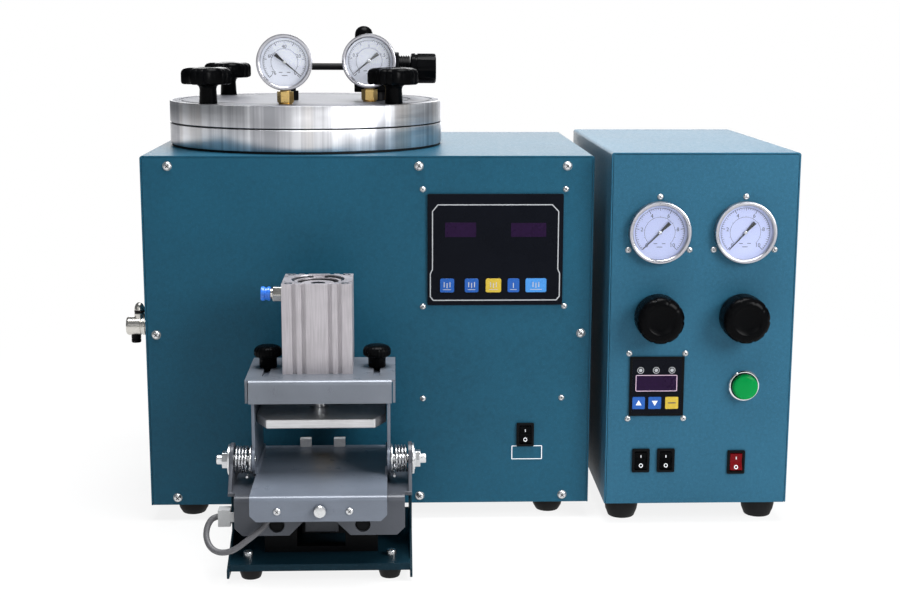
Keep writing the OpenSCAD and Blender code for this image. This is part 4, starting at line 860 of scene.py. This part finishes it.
def wax_pot():
    """Pot and lid, with a narrow slit where they part and a black seal in it."""
    thick = LID_TOP - PART_Z
    pot = turned(new(), [
        (0, 84), (109, 84), (109, FLANGE_Z), (129.2, FLANGE_Z), (129.7, FLANGE_Z + 0.3), (130, FLANGE_Z + 1),
        (130, PART_Z - 1.0), (129.7, PART_Z - 0.7), (128.3, PART_Z - 0.6), (128.3, PART_Z), (104, PART_Z),
        (104, 90), (0, 90)], (POT_X, POT_Y, 0), "z", 256)
    piece("pot_vessel", pot, "machine", STEEL, "bright_steel", stands_for=("wax_pot",))
    softened("pot_seals", RUBBER, 0.2)
    seal = turned(new(), [
        (128.1, -0.6), (128.6, -0.6), (128.6, 0.55), (128.1, 0.55)], (POT_X, POT_Y, PART_Z), "z", 256, True)
    piece("parting_seal", seal, "machine", RUBBER, "rubber_black")
    softened("heater_band", HEATER, 0.4)
    lid = turned(new(), [
        (0, -thick), (128.3, -thick), (128.3, 0.6 - thick), (129.7, 0.7 - thick), (130, 1.0 - thick),
        (130, -1.3), (129.6, -0.4), (128.7, 0), (121.2, 0), (121, -0.6), (119, -0.6), (118.8, 0), (100.2, 0),
        (100, -0.6), (98, -0.6), (97.8, 0), (60, 0), (0, 0)], (POT_X, POT_Y, LID_TOP), "z", 256)
    piece("pot_lid_turned", lid, "lid", STEEL, "bright_steel", stands_for=("pot_lid",))
    for k, (x, y) in enumerate(STARS, 1):
        star_knob("lid_knob_%d" % k, x, y)


def lid_fittings():
    stems, threads = new(), new()
    # figures, first angle and sweep of the scale, angle of the pointer
    dials = (["0", "20", "40", "60", "76"], -45, 270, -40), (["0", "0.5", "1", "1.5", "2"], 225, -270, 219)
    for k, ((x, y), (words, first, sweep, angle)) in enumerate(zip(LID_GAUGES, dials), 1):
        gauge("lid_gauge_%d" % k, "lid", x, LID_GAUGE_Z, y - 10, 50.0, 20.0, words, BEZEL, first, sweep)
        pointer("lid_needle_%d" % k, x, LID_GAUGE_Z, y - 10, 50.0, angle)
        prism(stems, circle(x, y, 7.6, 6), LID_TOP + 1.5, LID_TOP + 11.5, "z")
        turned(stems, [(5, 11.4), (5, 12.2), (4.2, 12.5), (4.2, 16), (0, 16)], (x, y, LID_TOP), "z", 32)
        turned(threads, [
            (0, 0), (6.2, 0), (6.6, 0.4), (6.2, 0.8), (6.6, 1.2), (6.2, 1.6), (0, 1.6)],
            (x, y, LID_TOP), "z", 32)
    piece("gauge_stems", stems, "lid", BRASS, "brass", 0.5, ("lid_gauges",))
    piece("gauge_threads", threads, "lid", BRASS, "brass")
    # pressure regulator: body, ribbed bonnet, dome, octagonal knob
    x, y, z = REG_X, REG_Y, REG_Z
    body = turned(new(), [(0, 0), (9, 0), (9, 9), (0, 9)], (x, y, LID_TOP), "z", 40)
    prism(body, rounded(y - 13, LID_TOP + 8, y + 13, z + 15, 3), x - 21, x + 21, "x")
    piece("regulator_body", body, "lid", SATIN_AND_SHADE, "black_plastic", 0.8, ("lid_regulator",), 3)
    profile = [(0, 20.5)]
    for k in range(5):
        rib = 20.6 + 2.2 * k
        profile += [(12.0, rib), (12.0, rib + 1.3), (11.1, rib + 1.6), (11.1, rib + 2.0)]
    bonnet = turned(new(), profile + [(11.1, 31.4), (0, 31.4)], (x, y, z), "x")
    turned(bonnet, [
        (0, 14.5), (8.5, 14.5), (8.5, 31), (8.2, 33.5), (7.2, 36), (5.2, 38), (2.6, 39.2), (0, 39.5)],
        (x - 12, y, z), "z", 48)
    piece("regulator_bonnet", bonnet, "lid", PLASTIC, "black_plastic")
    # elbow of the hose behind the left gauge
    ex = LID_GAUGES[0][0]
    elbow = prism(new(), circle(ex, y, 7.4, 6), LID_TOP, LID_TOP + 9, "z")
    turned(elbow, [(5, -21.2), (5, 4), (4.6, 5.8), (3.2, 6.4), (0, 6.5)], (ex, y, z), "z", 40)
    turned(elbow, [(3.3, 0), (5.4, 0), (5.4, 8.8), (4.9, 9.8), (3.3, 9.8)], (ex, y, z + 1.5), "x", 40, True)
    piece("hose_elbow", elbow, "lid", SATIN_AND_SHADE, "nickel", 0.3)
    hose = turned(new(), [(0, 5.2), (3.2, 5.2), (3.2, 67.3), (0, 67.3)], (ex, y, z + 1.5), "x", 40)
    piece("regulator_hose", hose, "lid", RUBBER, "rubber_black", stands_for=("lid_hose",))

    def octagon(a, size, groove):
        """Edge of the knob: eight flats, clipped corners, a groove along each corner."""
        flat_r, corner_r, cut, half_flat = 13.5, 14.1, 0.45, 0.32
        off = (a % (pi / 4)) - pi / 8
        return size * (min(flat_r / cos(off), corner_r) - (cut if groove and abs(off) > half_flat else 0))

    knob = turned(new(), [
        (0.5, 31.6, 0), (0.86, 32.0, 0), (0.97, 32.6, 0), (1, 34.0, 0), (1, 36.2, 0), (0.93, 36.6, 0),
        (0.93, 38.0, 0), (1, 38.4, 1), (1, 53.4, 1), (0.97, 55.0, 0), (0.88, 55.9, 0), (0.6, 56.0, 0)],
        (x, y, z), "x", 96, carve=octagon)
    turned(knob, [(0, 14), (3, 14), (3, 32), (0, 32)], (x, y, z), "x", 32)
    piece("regulator_knob_grip", knob, "lid_regulator_knob", PLASTIC, "black_plastic",
          stands_for=("lid_regulator_knob",), smooth=28)


def side_valve():
    """Valve on the left side: turned body, capped neck with a black ring, port that points down."""
    x, y, z = VALVE
    body = turned(new(), [
        (0, 4), (7, 4), (7, 0.2), (8.5, 0.2), (8.5, -3), (7, -3.4), (7, -16.6), (9, -16.8), (9, -19),
        (8.2, -19.4), (8.2, -20.6), (9, -21), (9, -32.5), (8, -34.2), (4.6, -34.5), (4.6, -32), (0, -32)],
        VALVE, "x", 48)
    turned(body, [
        (0, 5), (5, 5.6), (5, 12), (4.4, 13), (4.4, 15.4), (5, 15.6), (4.7, 18.4), (3.4, 21.2), (1.6, 22.7),
        (0, 23)], (x - 22, y, z), "z", 40)
    piece("side_valve_turned", body, "machine", NICKEL, "nickel", stands_for=("side_valve",), smooth=30)
    ring = turned(new(), [
        (4.3, 13.1), (4.9, 13.1), (5.0, 14.2), (4.9, 15.3), (4.3, 15.3)], (x - 22, y, z), "z", 40, True)
    piece("side_valve_ring", ring, "machine", RUBBER, "rubber_black")
    port = turned(new(), [
        (3, -16), (4.2, -16), (4.6, -15.4), (4.6, -13), (4.0, -12.6), (4.6, -12.2), (4.6, -5), (3, -5)],
        (x - 26, y, z), "z", 32, True)
    piece("side_valve_port", port, "machine", SATIN_AND_SHADE, "nickel", smooth=30)


# -------- mould clamp
def helix_spring(side):
    """Torsion spring with a straight leg and end; its sizes are in mm from the pivot."""
    x0, pitch, r, turns, steps = 61.0, 2.6, 10.6, 4, 48
    route = [(x0, -16.0, -r), (x0, -10.0, -r), (x0, -4.0, -r)]
    for k in range(steps * turns + 1):
        a = 2 * pi * k / steps
        route.append((x0 + pitch * k / steps, r * sin(a), -r * cos(a)))
    route.append((x0 + pitch * turns, 3.0, -r))
    route = [mm(CLAMP_X + side * x, PIVOT_Y + y, PIVOT_Z + z) for x, y, z in route]
    spring = tube("torsion_spring_%s" % ("left" if side < 0 else "right"), route, 0.001, 5, SPRING_STEEL)
    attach(spring, "carriage")
    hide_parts("torsion_springs")


def pivots():
    bolts, centre = new(), (CLAMP_X, PIVOT_Y, PIVOT_Z)
    for s in (-1, 1):
        turned(bolts, [
            (0, 54.6), (3.6, 54.6), (4, 55), (4, 87), (3.6, 87.5), (0, 87.5)], centre, "x", 40, way=s)
        for inner, outer, low, high in ((4.1, 12, 57.9, 59.9), (4.1, 13, 75.55, 77.7)):
            turned(bolts, [
                (inner, low), (outer - 0.4, low), (outer, low + 0.4), (outer, high - 0.4),
                (outer - 0.4, high), (inner, high)], centre, "x", 64, True, s)
        prism(bolts, circle(PIVOT_Y, PIVOT_Z, 7.5, 6), CLAMP_X + s * 77.75, CLAMP_X + s * 82.7, "x")
        # raised rim of the outer washer
        turned(bolts, [(4.2, 77.7), (9.5, 77.7), (9.2, 78.3), (4.2, 78.3)], centre, "x", 48, True, s)
    piece("pivot_bolt_set", bolts, "carriage", ZINC, "zinc_steel", 0.25, ("pivot_bolts",))
    helix_spring(-1)
    helix_spring(1)


def lock_knob(node, x):
    """Low round knob with fine ribs and a waisted neck."""
    ribs, cut = 24, 0.5
    profile = [(2.5, -9, 0), (2.5, 0, 0), (6.9, 0, 0), (7.5, 0.6, 0), (7.5, 7.2, 0), (8.2, 8.8, 0),
               (10.8, 9.8, 0.3), (11.8, 10.8, 0.8), (12.0, 12.2, 1), (12.0, 14.4, 1), (11.4, 16.2, 0.7),
               (10.0, 17.8, 0.2), (7.2, 18.9, 0), (4.0, 19.25, 0)]
    bm = turned(new(), profile, (x, -66, BRACKET_TOP + 0.05), "z", 144,
                carve=lambda a, r, depth: r - cut * depth * (0.5 + 0.5 * cos(ribs * a)))
    piece(node + "_grip", bm, node, PLASTIC, "black_plastic", stands_for=(node,), smooth=45)


def press_head():
    softened("top_bracket", SILVER_PALE, 0.5, 3)
    softened("press_cylinder", EXTRUDED, 0.7, 2)
    softened("press_plate", MILLED, 1.1, 3)
    softened("piston_rod", CHROME, 0.4)
    cover = turned(new(), [
        (0, -3.4), (6, -3.4), (6.4, -3.7), (14, -3.7), (14.5, -3.3), (22.4, -3.3), (22.4, -3.6), (0, -3.6)],
        (AXIS_X, AXIS_Y, CYL_TOP), "z", 96)
    piece("cylinder_end_cover", cover, "head", SATIN_AND_SHADE, "bare_aluminium", outward=False)
    # spring clip with two lugs
    arc = [radians(-250 + 320 * k / 60) for k in range(61)]
    outer = [polar(AXIS_X, AXIS_Y, 22.3, a) for a in arc]
    inner = [polar(AXIS_X, AXIS_Y, 20.2, a) for a in reversed(arc)]
    clip = prism(new(), outer + inner, CYL_TOP - 1.9, CYL_TOP - 0.7, "z")
    for a in (arc[0], arc[-1]):
        turned(clip, [(0.9, -1.9), (2.0, -1.9), (2.0, -0.7), (0.9, -0.7)],
               (*polar(AXIS_X, AXIS_Y, 19.6, a), CYL_TOP), "z", 24, True)
    piece("cylinder_clip", clip, "head", ANODISED_AND_SHADE, "zinc_steel", 0.15)
    screws = new()
    for i in (-1, 1):
        for j in (-1, 1):
            turned(screws, [
                (0, -0.5), (1.6, -0.5), (1.6, 0.02), (3.4, 0.02), (3.6, -0.1), (0, -0.12)],
                (AXIS_X + i * 23.6, AXIS_Y + j * 21.2, CYL_TOP), "z", 32)
    piece("cylinder_screws", screws, "head", ANODISED_AND_SHADE, "bare_aluminium", outward=False)
    x, y, z = AXIS_X - CYL_W / 2, AXIS_Y, CYL_TOP - 12.5
    fitting = prism(new(), circle(y, z, 6.9, 6), x - 9, x - 0.05, "x")
    turned(fitting, [(3.0, 11), (4.6, 11), (4.6, 8.9), (3.0, 8.9)], (x, y, z), "x", 40, True, -1)
    piece("air_fitting_body", fitting, "head", NICKEL, "nickel", 0.4, ("air_fitting",))
    collar = turned(new(), [
        (3.05, 10.9), (5.4, 10.9), (5.9, 11.4), (5.9, 13.4), (5.2, 13.8), (5.2, 15.4), (6.0, 15.9),
        (6.0, 18.4), (5.5, 19), (3.05, 19)], (x, y, z), "x", 48, True, -1)
    piece("air_fitting_collar", collar, "head", COLLAR, "blue_plastic")
    lock_knob("head_knob_1", CLAMP_X - 46.4)
    lock_knob("head_knob_2", CLAMP_X + 46.4)


def clamp():
    # clamp base in the darkened teal: painted shade
    softened("clamp_base", TEAL_SHADED, 0.4)
    # guide rods in black satin: painted shade under the carriage
    softened("guide_rods", SATIN_AND_SHADE, 0.4)
    # slide cylinder in the dark finish: painted shade under the carriage
    softened("slide_cylinder", ANODISED_AND_SHADE, 0.5)
    # carriage in the darkened silver: painted shade
    softened("carriage", SILVER_SHADED, 0.5, 3)
    softened("tray", SILVER, 0.45, 3)
    softened("side_plates", SILVER, 0.45)
    softened("mould_stops", STOP_BLOCK, 0.5)
    softened("cable_ends", GREY_PLASTIC, 0.7)
    pivots()
    press_head()
    heads, recess_shades = new(), new()
    for x in (-72.0, -14.0):
        turned(heads, [
            (0, -1.75), (1.6, -1.65), (2.6, -1.1), (3.0, -0.5), (3.0, 0)], (x, TRAY_FRONT, APRON_Z), "y", 28)
        # dark cross slab on the head: painted shade of the recess
        cross(recess_shades, x, APRON_Z, 3.0, 0.6, TRAY_FRONT - 1.8, TRAY_FRONT - 1.2)
    piece("apron_screws", heads, "frame", ZINC, "zinc_steel")
    piece("apron_screw_recess_shade", recess_shades, "frame", ANODISED_AND_SHADE, "zinc_steel")
    sockets = new()
    for x in (-99.0, 19.3):
        turned(sockets, [
            (0, 1.8), (2.0, 1.8), (2.0, 4.4), (3.6, 4.4), (4.0, 3.8), (4.0, 0)], (x, -135.0, 15.5), "z", 24)
    piece("base_screws", sockets, "machine", ZINC, "zinc_steel")
    cap = turned(new(), [
        (0, -4.0), (3.6, -3.95), (4.6, -3.6), (5.1, -2.9), (5.2, -1.6), (4.05, -1.5), (4.05, 8), (0, 8)],
        (CLAMP_X + 1.3, TRAY_FRONT, 64.7), "y", 48)
    piece("start_button_cap", cap, "start_button", ZINC, "zinc_steel", stands_for=("start_button",))


# -------- bench and light
ROOM_LIGHT = 0.17
# name, place, aim and size in metres, watts
LAMPS = (("key", (0.85, -0.8, 0.68), (0.15, 0, 0.2), 0.6, 14.0),
         ("fill", (-1.1, -1.6, 0.9), (0, 0, 0.15), 0.9, 2.0),
         ("front", (-0.1, -2.4, 0.7), (-0.12, 0, 0.35), 0.8, 4.0),
         ("top", (0.05, -0.12, 1.7), (0, -0.05, 0.2), 1.1, 46.0),
         ("back", (0.1, 2.6, 0.75), (0.05, 0, 0.36), 2.2, 36.0))


def studio():
    """White bench, white room behind it, five soft lamps."""
    bm = new()
    bmesh.ops.create_grid(bm, x_segments=8, y_segments=8, size=6.0)
    mesh = bpy.data.meshes.new("bench")
    bm.to_mesh(mesh)
    bm.free()
    bench = placed("bench", mesh)
    mesh.materials.append(bench_top("white_bench"))
    world = bpy.data.worlds.new("studio")
    scene.world = world
    world.use_nodes = True
    tree = Nodes(world.node_tree)
    camera = tree.node("LightPath", out="Is Camera Ray")
    seen = camera.larger(camera.part("Is Transmission Ray"))
    soft = tree.node("Background", {}, {0: (0.92, 0.96, 1.0, 1.0), 1: ROOM_LIGHT})
    white = tree.node("Background", {}, {0: (1.0, 1.0, 1.0, 1.0), 1: 1.0})
    tree.node("OutputWorld", {}, {0: tree.node("MixShader", {}, {0: seen, 1: soft, 2: white})})
    for name, place, aim, size, power in LAMPS:
        lamp = bpy.data.lights.new(name, "AREA")
        lamp.shape, lamp.size, lamp.energy = "DISK", size, power
        holder = placed(name, lamp)
        way = Vector(aim) - Vector(place)
        holder.matrix_world = Matrix.Translation(place) @ way.to_track_quat("-Z", "Y").to_matrix().to_4x4()
        holder.visible_camera = False
    scene.view_settings.view_transform = "Standard"


cabinet()
display()
control_box()
wax_pot()
lid_fittings()
side_valve()
clamp()
studio()
